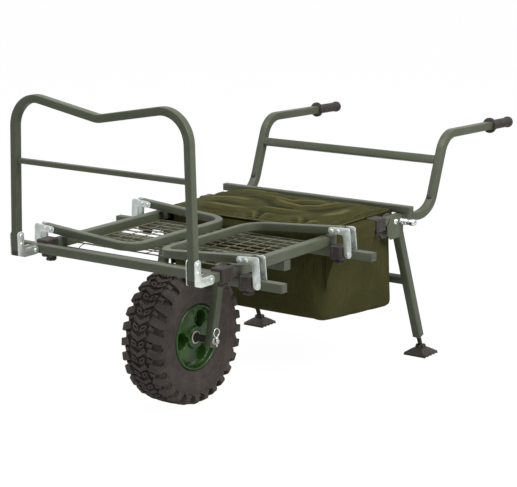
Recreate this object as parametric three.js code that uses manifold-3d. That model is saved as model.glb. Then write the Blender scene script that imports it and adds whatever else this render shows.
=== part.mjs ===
// A single-wheel fishing trolley: a tube frame with a wire deck, a knobbly front wheel, a folding
// front hoop, two sliding side frames that fold, a hung bag with a lid, folding legs and handles.
// Millimetres, +Z up. The wheel is at the -Y end and the grips are at the +Y end. The pusher's left
// hand is on the +X side. The origin is on the ground, under the middle of the whole trolley.

import * as THREE from "three";
import { mergeVertices } from "three/addons/utils/BufferGeometryUtils.js";
import Module from "manifold-3d";

const wasm = await Module();
wasm.setup();

// Clearances shared by all pieces
const SEAT_GAP = 0.3;
const SLIDE_GAP = 0.3;
const PIN_GAP = 0.3;
const CUT_OVERRUN = 1;
const WELD_DEPTH = 0.4;

// Square tube sizes
const RAIL_SIDE = 25;
const TUBE_SIDE = 22;
const SLIM_SIDE = 20;
const TUBE_WALL = 1.5;
const RAIL_WALL = (RAIL_SIDE - TUBE_SIDE) / 2 - SLIDE_GAP;
const VENT_R = 2.5;
const BEND_STEPS = 6;

// How many sides round pieces have, by their size
const BOLT_SIDES = 6;
const ROD_SIDES = 8;
const PIN_SIDES = 10;
const AXLE_SIDES = 12;
const BORE_SIDES = 16;
const HUB_SIDES = 20;
const BALL_SIDES = 10;
const BALL_RINGS = 6;
const ARC_STEPS = 6;

// Deck frame: the rails, and the sleeves and the fork tube under them
const RAIL_X = 280;
const RAIL_Z = 410;
const RAIL_FRONT_Y = -236;
const RAIL_REAR_Y = 460;
const FRONT_SLEEVE_Y = -165;
const REAR_SLEEVE_Y = 214;
const FORK_TUBE_Y = 25;
const SLEEVE_PAST_RAIL = 40;
const SLEEVE_HALF = RAIL_X + SLEEVE_PAST_RAIL;
const SLEEVE_Z = RAIL_Z - RAIL_SIDE - SEAT_GAP;
const RAIL_TOP = RAIL_Z + RAIL_SIDE / 2;
const SLEEVE_TOP = SLEEVE_Z + RAIL_SIDE / 2;
const SLEEVE_BOTTOM = SLEEVE_Z - RAIL_SIDE / 2;

// Wire deck
const DECK_FRONT_Y = -118;
const DECK_WIRE = 4;
const DECK_CELLS_ACROSS = 16;
const DECK_CELLS_ALONG = 10;

// Wheel
const WHEEL_Y = -30.7;
const TYRE_R = 176.2;
const WHEEL_Z = TYRE_R;
const RIM_SEGMENTS = 30;
const TREAD_PITCHES = 27;
const TREAD_SKEW = THREE.MathUtils.degToRad(0.12);
const LUG_HEIGHT = 8.2;
const SHOULDER_LEAN = THREE.MathUtils.degToRad(28);
const TYRE_HALF_SECTION = [[49, 85.3], [58.5, 130], [57, 148], [44, 162], [37, 165], [6, 168]];
const TYRE_INNER_SECTION = [[34, 157], [50.5, 128], [41, 85.3]];
const SHOULDER_ROW = 2;
const CENTRE_ROW = 4;
const RIM_R = 85;
const RIM_LIP_R = 79;
const RIM_HALF = 51;
const RIM_FACE = 40;
const HUB_R = 28;
const HUB_HALF = 46;
const POCKET_R = 21;
const POCKET_SIDES = 14;
const POCKET_RING_R = 51;
const POCKET_FLOOR = 12;
const POCKET_ANGLES = [180, 60, -60];
const SPOKE_WIDTH = 14;
const SPOKE_RISE = 4;
const BUSH_R = 17;
const AXLE_R = 6;
const SPACER_R = 9;
const WASHER_R = 10;
const WASHER = 2.5;
const AXLE_END = 12;

// Fork struts
const STRUT_X = 93;
const STRUT_TOP_Y = 19;
const STRUT_BELOW_AXLE = 17;

// Linch pins that hold the axle
const LINCH_R = 2;
const LINCH_BELOW = 15;
const LINCH_HEAD_R = 4.5;
const LINCH_HEAD = 5;
const LINCH_RING_R = 11;
const LINCH_WIRE_R = 1.5;
const LINCH_WIRE_SIDES = 5;
const LINCH_RING_STEPS = 14;

// Front arms and front hoop
const FRONT_PIVOT_Y = -272;
const ARM_FRONT_Y = -309;
const ARM_REAR_Y = 0;
const ARM_TIE_Y = -249.5;
const HOOP_Y = -322;
const HOOP_CORNER_X = 270;
const HOOP_CORNER_Z = 814;
const HOOP_LEAN = 7;
const HOOP_DIP_Z = 767;
const HOOP_CORNER_R = 74;
const HOOP_DIP_R = 60;
const HOOP_BAR_Z = 644;
const HOOP_BAR_SIDE = 13;
const HOOP_BAR_GAP = 0.6;
const HOOP_PLUG_BOTTOM_Z = 405;
const HOOP_PLUG = 13;
const PLUG_SPIGOT = 12;

// Sheet-metal brackets at the hoop and at the side frames
const PLATE = 2.5;
const PLATE_OFFSET = TUBE_SIDE / 2 + SEAT_GAP;
const BRACKET_HALF = 11;
const FRONT_BRACKET_RISE = 56;
const FRONT_BRACKET_DROP = 4;
const FRONT_BRACKET_FILLET = 8;
const FRONT_RIVETS = [24, 46];
const PIVOT_R = 3;
const RIVET_R = 2.5;
const HEAD_R = 5;
const HEAD = 2;

// Side frames that fold in over the rails, and the stubs that carry them and draw out by the travel
const SIDE_PIVOT_PAST_SLEEVE = 32;
const SIDE_PIVOT_X = SLEEVE_HALF + SIDE_PIVOT_PAST_SLEEVE;
const STUB_PAST_PIVOT = 70;
const STUB_LENGTH = 272;
const SIDE_TILT = 4.2;
const SIDE_TRAVEL = 60;
const SIDE_ARM_START = 15;
const SIDE_FRAME_INNER_X = 45;
const SIDE_ARM_REACH = SIDE_PIVOT_X - SIDE_FRAME_INNER_X;
const SIDE_FRAME_CORNER_R = 50;
const SIDE_BRACKET_REACH = 55;
const SIDE_BRACKET_FILLET = 8;
const SIDE_LEG_HALF = 9;
const SIDE_RIVETS = [44, 25];

// Plastic clamp collars and their thumbscrews
const COLLAR_SIDE = 36;
const COLLAR_LIP = 2;
const RAIL_COLLAR = 44;
const SLEEVE_COLLAR = 36;
const SLEEVE_COLLAR_LIP = 16;
const SCREW_R = 3;
const KNOB_R = 14;
const KNOB_HEIGHT = 9;
const KNOB_DROP = 1.5;
const KNOB_COLLAR_R = 7;
const KNOB_LOBES = 6;
const KNOB_LOBE_STEPS = 3;
const KNOB_LOBE_SHARE = 0.18;

// Handles, their bars and their grips
const HANDLE_FRONT_Y = 262;
const HANDLE_SPLAY_Y = 560;
const HANDLE_SPLAY_R = 40;
const HANDLE_LOW_CORNER = [300, 670, 398];
const HANDLE_LOW_R = 72;
const HANDLE_HIGH_CORNER = [301, 751, 609];
const HANDLE_HIGH_R = 64;
const GRIP_END = [301, 1116, 596];
const HANDLE_BAR_Z = 541;
const REAR_BAR_Y = 560;
const REAR_BAR_PAST_HANDLE = 36;
const REAR_BAR_HALF = RAIL_X + REAR_BAR_PAST_HANDLE;
const GRIP_LENGTH = 116;
const GRIP_SPIGOT = 30;
const GRIP_FLANGE_R = 22;
const GRIP_FLANGE = 6;
const GRIP_R = 14;
const GRIP_WAIST_R = 13;
const GRIP_END_R = 16;
const GRIP_END_BULGE = 12;

// Leg frame, its plates, its plungers and its feet
const LEG_PIVOT_Y = 515;
const LEG_PIVOT_Z = 406;
const LEG_PIN_R = 4;
const LEG_HEAD_R = 8;
const LEG_HEAD = 3;
const LEG_PLATE_R = 20;
const LEG_PLATE = [[491, 360], [552, 360], [556, 364], [556, 408], [550, 414], [536, 416]];
const LEG_PLATE_FRONT = [[476, 398], [476, 376]];
const LEG_SIDE = TUBE_SIDE + 2 * (SEAT_GAP + WELD_DEPTH);
const LEG_LINE_LOW = [644.6, 88.5];
const LEG_LINE_HIGH = [537.8, 398];
const LEG_BOTTOM_Z = 56;
const LEG_BRACE_Z = 226;
const STEM_R = 6;
const STEM_ROOT_R = 8;
const STEM_PLUG = 12;
const BALL_R = 8;
const BALL_GAP = 0.8;
const BALL_Y = 669;
const BALL_Z = 24;
const FOOT_SIDE = 70;
const FOOT_BASE = 6;
const FOOT_BOSS_R = 15;
const FOOT_SKIRT_R = 21;
const FOOT_BOSS_TOP = 28;
const FOOT_MOUTH_R = 12.5;
const FOOT_CLEATS = 5;
const FOOT_CLEAT = 2;
const PLUNGER_Y = 540;
const PLUNGER_Z = 403;
const PLUNGER_BASE_R = 9;
const PLUNGER_BASE = 14;
const PLUNGER_PIN_R = 3.5;
const PLUNGER_KNOB_R = 9;
const PLUNGER_NECK_R = 5;
const PLUNGER_KNOB = 32;

// Bag and lid
const BAG_INSIDE_RAIL = 7.5;
const BAG_HALF = RAIL_X - RAIL_SIDE / 2 - BAG_INSIDE_RAIL;
const BAG_FRONT_Y = 238;
const BAG_REAR_Y = 546;
const BAG_REAR_BULGE = 9;
const BAG_FRONT_BOTTOM_Z = 183;
const BAG_REAR_BOTTOM_Z = 158;
const BAG_WALL = 3;
const BAG_CORNER = 14;
const HEM_FRONT_Y = 241;
const HEM_REAR_Y = 414;
const HEM_WALL = 3;
const HEM_DROP_Z = 384;
const SKIRT_BOTTOM_Z = 280;
const LID_OVERHANG = 1;
const LID_EDGE = 7;
const LID_CROWN = 13;
const LID_STEPS = 6;

// The origin lies midway between the front edges of the hoop's brackets and the ends of the grips
const ORIGIN_Y = (HOOP_Y - BRACKET_HALF + GRIP_END[1]) / 2;

const X_AXIS = new THREE.Vector3(1, 0, 0);
const Y_AXIS = new THREE.Vector3(0, 1, 0);
const Z_AXIS = new THREE.Vector3(0, 0, 1);
const SIDES = [{ name: "left", side: 1 }, { name: "right", side: -1 }];
const SLEEVES = [["front", FRONT_SLEEVE_Y], ["rear", REAR_SLEEVE_Y]];

const paint = new THREE.MeshStandardMaterial({ color: 0x4f5642, roughness: 0.45, metalness: 0.3 });
const zinc = new THREE.MeshStandardMaterial({ color: 0xc9cfcd, roughness: 0.35, metalness: 0.9 });
const chrome = new THREE.MeshStandardMaterial({ color: 0xe2e4e2, roughness: 0.15, metalness: 1 });
const rubber = new THREE.MeshStandardMaterial({ color: 0x3a332f, roughness: 0.9, metalness: 0 });
const green = new THREE.MeshStandardMaterial({ color: 0x2f5a24, roughness: 0.4, metalness: 0.1 });
const nylon = new THREE.MeshStandardMaterial({ color: 0xb9b7a8, roughness: 0.6, metalness: 0 });
const black = new THREE.MeshStandardMaterial({ color: 0x2c2523, roughness: 0.6, metalness: 0 });
const wire = new THREE.MeshStandardMaterial({ color: 0x2b2622, roughness: 0.5, metalness: 0.4 });
const cloth = new THREE.MeshStandardMaterial({ color: 0x474527, roughness: 0.95, metalness: 0 });

function solid(geometry) {
  const plain = new THREE.BufferGeometry();
  plain.setAttribute("position", geometry.getAttribute("position").clone());
  if (geometry.index) {
    plain.setIndex(geometry.index.clone());
  }
  const merged = mergeVertices(plain);
  const mesh = new wasm.Mesh({
    numProp: 3,
    vertProperties: new Float32Array(merged.attributes.position.array),
    triVerts: new Uint32Array(merged.index.array),
  });
  return new wasm.Manifold(mesh);
}

function geometryOf(manifold) {
  const mesh = manifold.getMesh();
  const geometry = new THREE.BufferGeometry();
  geometry.setAttribute("position", new THREE.BufferAttribute(mesh.vertProperties, 3));
  geometry.setIndex(new THREE.BufferAttribute(mesh.triVerts, 1));
  geometry.computeVertexNormals();
  return geometry;
}

function join(pieces) {
  return pieces.reduce((whole, piece) => whole.add(piece));
}

function cut(whole, tools) {
  return tools.reduce((rest, tool) => rest.subtract(tool), whole);
}

function point(x, y, z) {
  return new THREE.Vector3(x, y, z);
}

// Turns the triangles over when the closed surface faces inwards
function outward(geometry) {
  const position = geometry.getAttribute("position");
  const index = geometry.index.array;
  const a = new THREE.Vector3();
  const b = new THREE.Vector3();
  const c = new THREE.Vector3();
  let volume = 0;
  for (let i = 0; i < index.length; i += 3) {
    a.fromBufferAttribute(position, index[i]);
    b.fromBufferAttribute(position, index[i + 1]);
    c.fromBufferAttribute(position, index[i + 2]);
    volume += a.dot(b.cross(c));
  }
  if (volume < 0) {
    for (let i = 0; i < index.length; i += 3) {
      [index[i], index[i + 1]] = [index[i + 1], index[i]];
    }
  }
  return geometry;
}

function block(low, high) {
  const size = high.map((value, i) => value - low[i]);
  const middle = high.map((value, i) => (value + low[i]) / 2);
  return solid(new THREE.BoxGeometry(...size).translate(...middle));
}

// A round bar from one point to another, a cone when the far end has its own radius
function rod(from, to, radius, sides = ROD_SIDES, farRadius = radius) {
  const along = to.clone().sub(from);
  const geometry = new THREE.CylinderGeometry(farRadius, radius, along.length(), sides);
  geometry.applyQuaternion(new THREE.Quaternion().setFromUnitVectors(Y_AXIS, along.clone().normalize()));
  const middle = from.clone().add(to).divideScalar(2);
  return solid(geometry.translate(middle.x, middle.y, middle.z));
}

// A body of revolution about +Y; the outline is a closed list of [radius, height]
function turned(outline, segments) {
  const points = [...outline, outline[0]].map(([radius, height]) => new THREE.Vector2(radius, height));
  const geometry = new THREE.LatheGeometry(points, segments);
  geometry.deleteAttribute("normal");
  geometry.deleteAttribute("uv");
  return outward(mergeVertices(geometry));
}

// A path through points with its inner corners rounded to the given radii
function roundedPath(points, radii, steps) {
  const path = [points[0]];
  for (let i = 1; i < points.length - 1; i += 1) {
    const corner = points[i];
    const back = points[i - 1].clone().sub(corner).normalize();
    const ahead = points[i + 1].clone().sub(corner).normalize();
    const opening = back.angleTo(ahead);
    const radius = radii[i - 1];
    const tangent = radius / Math.tan(opening / 2);
    const centre = back.clone().add(ahead).normalize();
    centre.multiplyScalar(radius / Math.sin(opening / 2)).add(corner);
    const start = corner.clone().addScaledVector(back, tangent).sub(centre);
    const axis = back.clone().cross(ahead).normalize();
    const turn = opening - Math.PI;
    for (let k = 0; k <= steps; k += 1) {
      const arm = start.clone().applyAxisAngle(axis, (turn * k) / steps);
      path.push(arm.add(centre));
    }
  }
  path.push(points[points.length - 1]);
  return path;
}

// A hollow square tube with mitred joints along a path. One side of its section stays along across.
// startPlane is the normal of the cut at its first end where that cut isn't square.
function squareTube(path, side, wall, across, startPlane = null) {
  const spans = path.slice(1).map((to, i) => to.clone().sub(path[i]).normalize());
  const planes = path.map((_, i) => {
    if (i === 0) {
      return startPlane ?? spans[0];
    }
    if (i === path.length - 1) {
      return spans[i - 1];
    }
    return spans[i - 1].clone().add(spans[i]).normalize();
  });
  const corners = [[-1, -1], [1, -1], [1, 1], [-1, 1]];
  const corner = (i, span, a, b, half) => {
    const level = across.clone().addScaledVector(span, -span.dot(across)).normalize();
    const second = span.clone().cross(level);
    const spot = path[i].clone().addScaledVector(level, a * half).addScaledVector(second, b * half);
    return spot.addScaledVector(span, path[i].clone().sub(spot).dot(planes[i]) / span.dot(planes[i]));
  };
  const vertices = [];
  for (const half of [side / 2, side / 2 - wall]) {
    for (const [a, b] of corners) {
      path.forEach((_, i) => {
        const before = corner(i, spans[Math.max(i - 1, 0)], a, b, half);
        const after = corner(i, spans[Math.min(i, spans.length - 1)], a, b, half);
        vertices.push(...before.add(after).divideScalar(2));
      });
    }
  }
  const end = path.length - 1;
  const at = (layer, edge, ring) => (layer * corners.length + (edge % corners.length)) * path.length + ring;
  const faces = [];
  const quad = (a, b, c, d) => faces.push(a, b, c, a, c, d);
  corners.forEach((_, c) => {
    for (let ring = 0; ring < end; ring += 1) {
      quad(at(0, c, ring), at(0, c + 1, ring), at(0, c + 1, ring + 1), at(0, c, ring + 1));
      quad(at(1, c, ring + 1), at(1, c + 1, ring + 1), at(1, c + 1, ring), at(1, c, ring));
    }
    quad(at(0, c + 1, 0), at(0, c, 0), at(1, c, 0), at(1, c + 1, 0));
    quad(at(0, c, end), at(0, c + 1, end), at(1, c + 1, end), at(1, c, end));
  });
  const geometry = new THREE.BufferGeometry();
  geometry.setAttribute("position", new THREE.Float32BufferAttribute(vertices, 3));
  geometry.setIndex(faces);
  return outward(geometry);
}

// A flat plate or prism with an outline in (x, z) and its thickness along Y, or with an outline in
// (y, z) and its thickness along X; it spreads evenly about the outline's plane
function slab(outline, thickness, normal) {
  const shape = new THREE.Shape(outline.map(([first, second]) => new THREE.Vector2(first, second)));
  const geometry = new THREE.ExtrudeGeometry(shape, { depth: thickness, bevelEnabled: false });
  geometry.translate(0, 0, -thickness / 2);
  geometry.rotateX(Math.PI / 2);
  if (normal === "x") {
    geometry.rotateZ(Math.PI / 2);
  }
  return solid(geometry);
}

function arc(centre, radius, fromDegrees, toDegrees, steps) {
  return Array.from({ length: steps + 1 }, (_, i) => {
    const angle = THREE.MathUtils.degToRad(fromDegrees + ((toDegrees - fromDegrees) * i) / steps);
    return [centre[0] + radius * Math.cos(angle), centre[1] + radius * Math.sin(angle)];
  });
}

const group = new THREE.Group();
const trolley = new THREE.Group();
trolley.position.y = -ORIGIN_Y;
group.add(trolley);

function place(name, geometry, material) {
  const mesh = new THREE.Mesh(geometry, material);
  mesh.name = name;
  trolley.add(mesh);
  return mesh;
}

// Deck frame: two rails along the trolley, and two sleeves and the fork tube across it
const SCREW_HOLE_R = SCREW_R + PIN_GAP;
const FRONT_COLLAR_Y = RAIL_FRONT_Y - COLLAR_LIP + RAIL_COLLAR / 2;
const REAR_COLLAR_Y = RAIL_REAR_Y + COLLAR_LIP - RAIL_COLLAR / 2;
const SLEEVE_COLLAR_X = SLEEVE_HALF + SLEEVE_COLLAR_LIP - SLEEVE_COLLAR / 2;

function screwHole(x, y, z) {
  return rod(point(x, y, z - RAIL_SIDE), point(x, y, z), SCREW_HOLE_R, PIN_SIDES);
}

for (const { name, side } of SIDES) {
  const x = side * RAIL_X;
  const path = [point(x, RAIL_FRONT_Y, RAIL_Z), point(x, RAIL_REAR_Y, RAIL_Z)];
  const holes = [FRONT_COLLAR_Y, REAR_COLLAR_Y].map((y) => screwHole(x, y, RAIL_Z));
  const rail = cut(solid(squareTube(path, RAIL_SIDE, RAIL_WALL, X_AXIS)), holes);
  place(`rail_${name}`, geometryOf(rail), paint);
}
for (const [name, y] of SLEEVES) {
  const path = [point(-SLEEVE_HALF, y, SLEEVE_Z), point(SLEEVE_HALF, y, SLEEVE_Z)];
  const holes = SIDES.map(({ side }) => screwHole(side * SLEEVE_COLLAR_X, y, SLEEVE_Z));
  const sleeve = cut(solid(squareTube(path, RAIL_SIDE, RAIL_WALL, Y_AXIS)), holes);
  place(`sleeve_${name}`, geometryOf(sleeve), paint);
}
const FORK_HALF = RAIL_X + RAIL_SIDE / 2;
const forkPath = [point(-FORK_HALF, FORK_TUBE_Y, SLEEVE_Z), point(FORK_HALF, FORK_TUBE_Y, SLEEVE_Z)];
place("fork_tube", squareTube(forkPath, RAIL_SIDE, RAIL_WALL, Y_AXIS), paint);

// Wire deck: one flat grid between the rails, resting on the rear sleeve and the fork tube. Grid
// lines run along both edges of every wire, and a field between two wires both ways is left open.
function deckMesh() {
  const half = RAIL_X - RAIL_SIDE / 2 - SEAT_GAP;
  const lines = (low, high, cells) => {
    const pitch = (high - low - DECK_WIRE) / cells;
    return Array.from({ length: cells + 1 }, (_, i) => [low + i * pitch, low + i * pitch + DECK_WIRE]).flat();
  };
  const xs = lines(-half, half, DECK_CELLS_ACROSS);
  const ys = lines(DECK_FRONT_Y, REAR_SLEEVE_Y, DECK_CELLS_ALONG);
  const low = SLEEVE_TOP + SEAT_GAP;
  const vertices = [low, low + DECK_WIRE].flatMap((z) => xs.flatMap((x) => ys.flatMap((y) => [x, y, z])));
  const at = (layer, i, k) => (layer * xs.length + i) * ys.length + k;
  const faces = [];
  const quad = (p, q, r, t) => faces.push(p, q, r, p, r, t);
  const filled = (i, k) => {
    const inside = i >= 0 && k >= 0 && i < xs.length - 1 && k < ys.length - 1;
    return inside && (i % 2 === 0 || k % 2 === 0);
  };
  for (let i = 0; i < xs.length - 1; i += 1) {
    for (let k = 0; k < ys.length - 1; k += 1) {
      if (filled(i, k)) {
        quad(at(1, i, k), at(1, i + 1, k), at(1, i + 1, k + 1), at(1, i, k + 1));
        quad(at(0, i, k), at(0, i, k + 1), at(0, i + 1, k + 1), at(0, i + 1, k));
        const sides = [
          [i, k - 1, [i, k], [i + 1, k]],
          [i + 1, k, [i + 1, k], [i + 1, k + 1]],
          [i, k + 1, [i + 1, k + 1], [i, k + 1]],
          [i - 1, k, [i, k + 1], [i, k]],
        ];
        for (const [nextI, nextK, from, to] of sides) {
          if (!filled(nextI, nextK)) {
            quad(at(0, ...from), at(0, ...to), at(1, ...to), at(1, ...from));
          }
        }
      }
    }
  }
  const geometry = new THREE.BufferGeometry();
  geometry.setAttribute("position", new THREE.Float32BufferAttribute(vertices, 3));
  geometry.setIndex(faces);
  return outward(geometry);
}
place("deck_mesh", deckMesh(), wire);

// Fork struts, each drilled for the axle
const strutTop = SLEEVE_BOTTOM - SEAT_GAP;
for (const { name, side } of SIDES) {
  const x = side * STRUT_X;
  const hub = point(x, WHEEL_Y, WHEEL_Z);
  const top = point(x, STRUT_TOP_Y, strutTop);
  const low = hub.clone().addScaledVector(hub.clone().sub(top).normalize(), STRUT_BELOW_AXLE);
  const tube = solid(squareTube([top, low], TUBE_SIDE, TUBE_WALL, X_AXIS, Z_AXIS));
  const reach = TUBE_SIDE / 2 + CUT_OVERRUN;
  const ends = [x - reach, x + reach].map((across) => point(across, WHEEL_Y, WHEEL_Z));
  const hole = rod(...ends, AXLE_R + PIN_GAP, BORE_SIDES);
  place(`strut_${name}`, geometryOf(cut(tube, [hole])), paint);
}

// Axle with a spacer and a washer at each strut, drilled for the linch pins
const STRUT_INNER = STRUT_X - TUBE_SIDE / 2 - SEAT_GAP;
const STRUT_OUTER = STRUT_X + TUBE_SIDE / 2 + SEAT_GAP;
const LINCH_X = STRUT_OUTER + WASHER + (AXLE_END - WASHER) / 2;

function axle() {
  const hub = HUB_HALF + SEAT_GAP;
  const end = STRUT_OUTER + AXLE_END;
  const near = [[AXLE_R, hub], [SPACER_R, hub], [SPACER_R, STRUT_INNER], [AXLE_R, STRUT_INNER],
    [AXLE_R, STRUT_OUTER], [WASHER_R, STRUT_OUTER], [WASHER_R, STRUT_OUTER + WASHER],
    [AXLE_R, STRUT_OUTER + WASHER], [AXLE_R, end], [0, end]];
  const far = near.map(([radius, x]) => [radius, -x]).reverse();
  const body = solid(turned([...far, ...near], AXLE_SIDES).rotateZ(-Math.PI / 2));
  const reach = AXLE_R + CUT_OVERRUN;
  const holes = SIDES.map(({ side }) => {
    const x = side * LINCH_X;
    return rod(point(x, 0, -reach), point(x, 0, reach), LINCH_R + PIN_GAP, PIN_SIDES);
  });
  return cut(body, holes).translate([0, WHEEL_Y, WHEEL_Z]);
}
place("axle", geometryOf(axle()), chrome);

// Linch pins: a pin through the axle's end, with a head and a pull ring above it
for (const { name, side } of SIDES) {
  const headLow = AXLE_R + SEAT_GAP;
  const headTop = headLow + LINCH_HEAD;
  const ring = new THREE.TorusGeometry(LINCH_RING_R, LINCH_WIRE_R, LINCH_WIRE_SIDES, LINCH_RING_STEPS);
  ring.rotateY(Math.PI / 2);
  ring.translate(0, 0, headTop + LINCH_RING_R);
  const pin = join([
    rod(point(0, 0, -LINCH_BELOW), point(0, 0, headTop), LINCH_R, PIN_SIDES),
    rod(point(0, 0, headLow), point(0, 0, headTop), LINCH_HEAD_R, PIN_SIDES),
    solid(ring),
  ]);
  place(`linch_pin_${name}`, geometryOf(pin.translate([side * LINCH_X, WHEEL_Y, WHEEL_Z])), chrome);
}

// Wheel rim: a moulded disc with round pockets, raised spokes and a rolled edge on both faces
function wheelRim() {
  const half = [[BUSH_R + SEAT_GAP, HUB_HALF], [HUB_R, HUB_HALF], [HUB_R + SPOKE_RISE, RIM_FACE],
    [RIM_LIP_R - SPOKE_RISE, RIM_FACE], [RIM_LIP_R, RIM_HALF], [RIM_R, RIM_HALF]];
  const other = half.map(([radius, x]) => [radius, -x]).reverse();
  let rim = solid(turned([...half, ...other], RIM_SEGMENTS).rotateZ(-Math.PI / 2));
  const pockets = [];
  for (const { side } of SIDES) {
    for (const angle of POCKET_ANGLES.map(THREE.MathUtils.degToRad)) {
      const y = POCKET_RING_R * Math.cos(angle);
      const z = POCKET_RING_R * Math.sin(angle);
      const floor = point(side * POCKET_FLOOR / 2, y, z);
      pockets.push(rod(floor, point(side * RIM_HALF, y, z), POCKET_R, POCKET_SIDES));
    }
  }
  rim = cut(rim, pockets);
  const low = HUB_R + SPOKE_RISE;
  const high = RIM_LIP_R - SPOKE_RISE / 2;
  for (const { side } of SIDES) {
    for (const angle of POCKET_ANGLES) {
      const spoke = new THREE.BoxGeometry(2 * SPOKE_RISE, high - low, SPOKE_WIDTH);
      spoke.translate(side * RIM_FACE, (high + low) / 2, 0);
      spoke.rotateX(THREE.MathUtils.degToRad(angle) + Math.PI);
      rim = rim.add(solid(spoke));
    }
  }
  return rim.translate([0, WHEEL_Y, WHEEL_Z]);
}
place("wheel_rim", geometryOf(wheelRim()), green);

const bushOutline = [[AXLE_R + PIN_GAP, HUB_HALF], [BUSH_R, HUB_HALF], [BUSH_R, -HUB_HALF],
  [AXLE_R + PIN_GAP, -HUB_HALF]];
const bush = turned(bushOutline, HUB_SIDES).rotateZ(-Math.PI / 2).translate(0, WHEEL_Y, WHEEL_Z);
place("wheel_bearing", bush, nylon);

// Tyre: an open carcass with four rows of lugs. The section is a closed loop of [x, radius] lines,
// and every second field of a lug row is raised, so the rows on the two sides are staggered.
function tyre() {
  const mirrored = (lines) => lines.map(([x, radius]) => [-x, radius]);
  const outer = [...TYRE_HALF_SECTION, ...mirrored(TYRE_HALF_SECTION).reverse()];
  const inner = [...mirrored(TYRE_INNER_SECTION).reverse(), ...TYRE_INNER_SECTION];
  const loop = [...outer, ...inner];
  const steps = 2 * TREAD_PITCHES;
  const last = outer.length - 2;
  const lugRows = new Map([
    [SHOULDER_ROW, { shift: 0, lean: SHOULDER_LEAN }],
    [CENTRE_ROW, { shift: 1, lean: 0 }],
    [last - CENTRE_ROW, { shift: 0, lean: 0 }],
    [last - SHOULDER_ROW, { shift: 1, lean: -SHOULDER_LEAN }],
  ]);
  const vertices = [];
  const faces = [];
  const vertex = (line, step, height = 0, lean = 0) => {
    const [x, radius] = loop[line % loop.length];
    const angle = ((step % steps) * 2 * Math.PI) / steps + TREAD_SKEW * Math.abs(x);
    const reach = radius + height * Math.cos(lean);
    vertices.push(x + height * Math.sin(lean), reach * Math.sin(angle), reach * Math.cos(angle));
    return vertices.length / 3 - 1;
  };
  const quad = (p, q, r, t) => faces.push(p, q, r, p, r, t);
  loop.forEach((_, line) => {
    const row = lugRows.get(line);
    for (let step = 0; step < steps; step += 1) {
      const edge = [[line, step], [line + 1, step], [line + 1, step + 1], [line, step + 1]];
      const base = edge.map(([i, k]) => vertex(i, k));
      if (row && step % 2 === row.shift) {
        const top = edge.map(([i, k]) => vertex(i, k, LUG_HEIGHT, row.lean));
        quad(...top);
        base.forEach((_, k) => {
          const next = (k + 1) % base.length;
          quad(base[k], base[next], top[next], top[k]);
        });
      } else {
        quad(...base);
      }
    }
  });
  const geometry = new THREE.BufferGeometry();
  geometry.setAttribute("position", new THREE.Float32BufferAttribute(vertices, 3));
  geometry.setIndex(faces);
  return outward(mergeVertices(geometry)).translate(0, WHEEL_Y, WHEEL_Z);
}
place("tyre", tyre(), rubber);

// Front arms: two tubes in the rails, tied across in front of the deck and drilled at the pivots
const ARM_TIE_HALF = RAIL_X - TUBE_SIDE / 2 + WELD_DEPTH;

function crossBolt(x, y, z, reach, radius, sides = ROD_SIDES) {
  return rod(point(x - reach, y, z), point(x + reach, y, z), radius, sides);
}

function frontArms() {
  const arms = SIDES.map(({ side }) => {
    const path = [point(side * RAIL_X, ARM_FRONT_Y, RAIL_Z), point(side * RAIL_X, ARM_REAR_Y, RAIL_Z)];
    return solid(squareTube(path, TUBE_SIDE, TUBE_WALL, X_AXIS));
  });
  const tiePath = [point(-ARM_TIE_HALF, ARM_TIE_Y, RAIL_Z), point(ARM_TIE_HALF, ARM_TIE_Y, RAIL_Z)];
  const tie = solid(squareTube(tiePath, TUBE_SIDE, TUBE_WALL, Y_AXIS));
  const holes = SIDES.map(({ side }) => {
    return crossBolt(side * RAIL_X, FRONT_PIVOT_Y, RAIL_Z, TUBE_SIDE, PIVOT_R + PIN_GAP);
  });
  const vent = rod(point(0, ARM_TIE_Y, RAIL_Z - TUBE_SIDE), point(0, ARM_TIE_Y, RAIL_Z), VENT_R);
  return cut(join([...arms, tie]), [...holes, vent]);
}
place("front_arms", geometryOf(frontArms()), paint);

// Front hoop: one bent tube with a dip in its top, riveted between the bracket plates
const HOOP_FOOT_Z = HOOP_PLUG_BOTTOM_Z + HOOP_PLUG;
const HOOP_BEND_Z = RAIL_Z + FRONT_BRACKET_RISE;
const FRONT_RIVET_Z = FRONT_RIVETS.map((rise) => RAIL_Z + rise);

function frontHoop() {
  const corners = [
    point(-RAIL_X, HOOP_Y, HOOP_FOOT_Z + SEAT_GAP),
    point(-RAIL_X, HOOP_Y, HOOP_BEND_Z),
    point(-HOOP_CORNER_X, HOOP_Y + HOOP_LEAN, HOOP_CORNER_Z),
    point(0, HOOP_Y + HOOP_LEAN, HOOP_DIP_Z),
    point(HOOP_CORNER_X, HOOP_Y + HOOP_LEAN, HOOP_CORNER_Z),
    point(RAIL_X, HOOP_Y, HOOP_BEND_Z),
    point(RAIL_X, HOOP_Y, HOOP_FOOT_Z + SEAT_GAP),
  ];
  const radii = [HOOP_DIP_R, HOOP_CORNER_R, HOOP_DIP_R, HOOP_CORNER_R, HOOP_DIP_R];
  const path = roundedPath(corners, radii, BEND_STEPS);
  const holes = [];
  for (const { side } of SIDES) {
    for (const z of FRONT_RIVET_Z) {
      holes.push(crossBolt(side * RAIL_X, HOOP_Y, z, TUBE_SIDE, RIVET_R + PIN_GAP));
    }
  }
  return cut(solid(squareTube(path, SLIM_SIDE, TUBE_WALL, Y_AXIS)), holes);
}
place("front_hoop", geometryOf(frontHoop()), paint);

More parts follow.
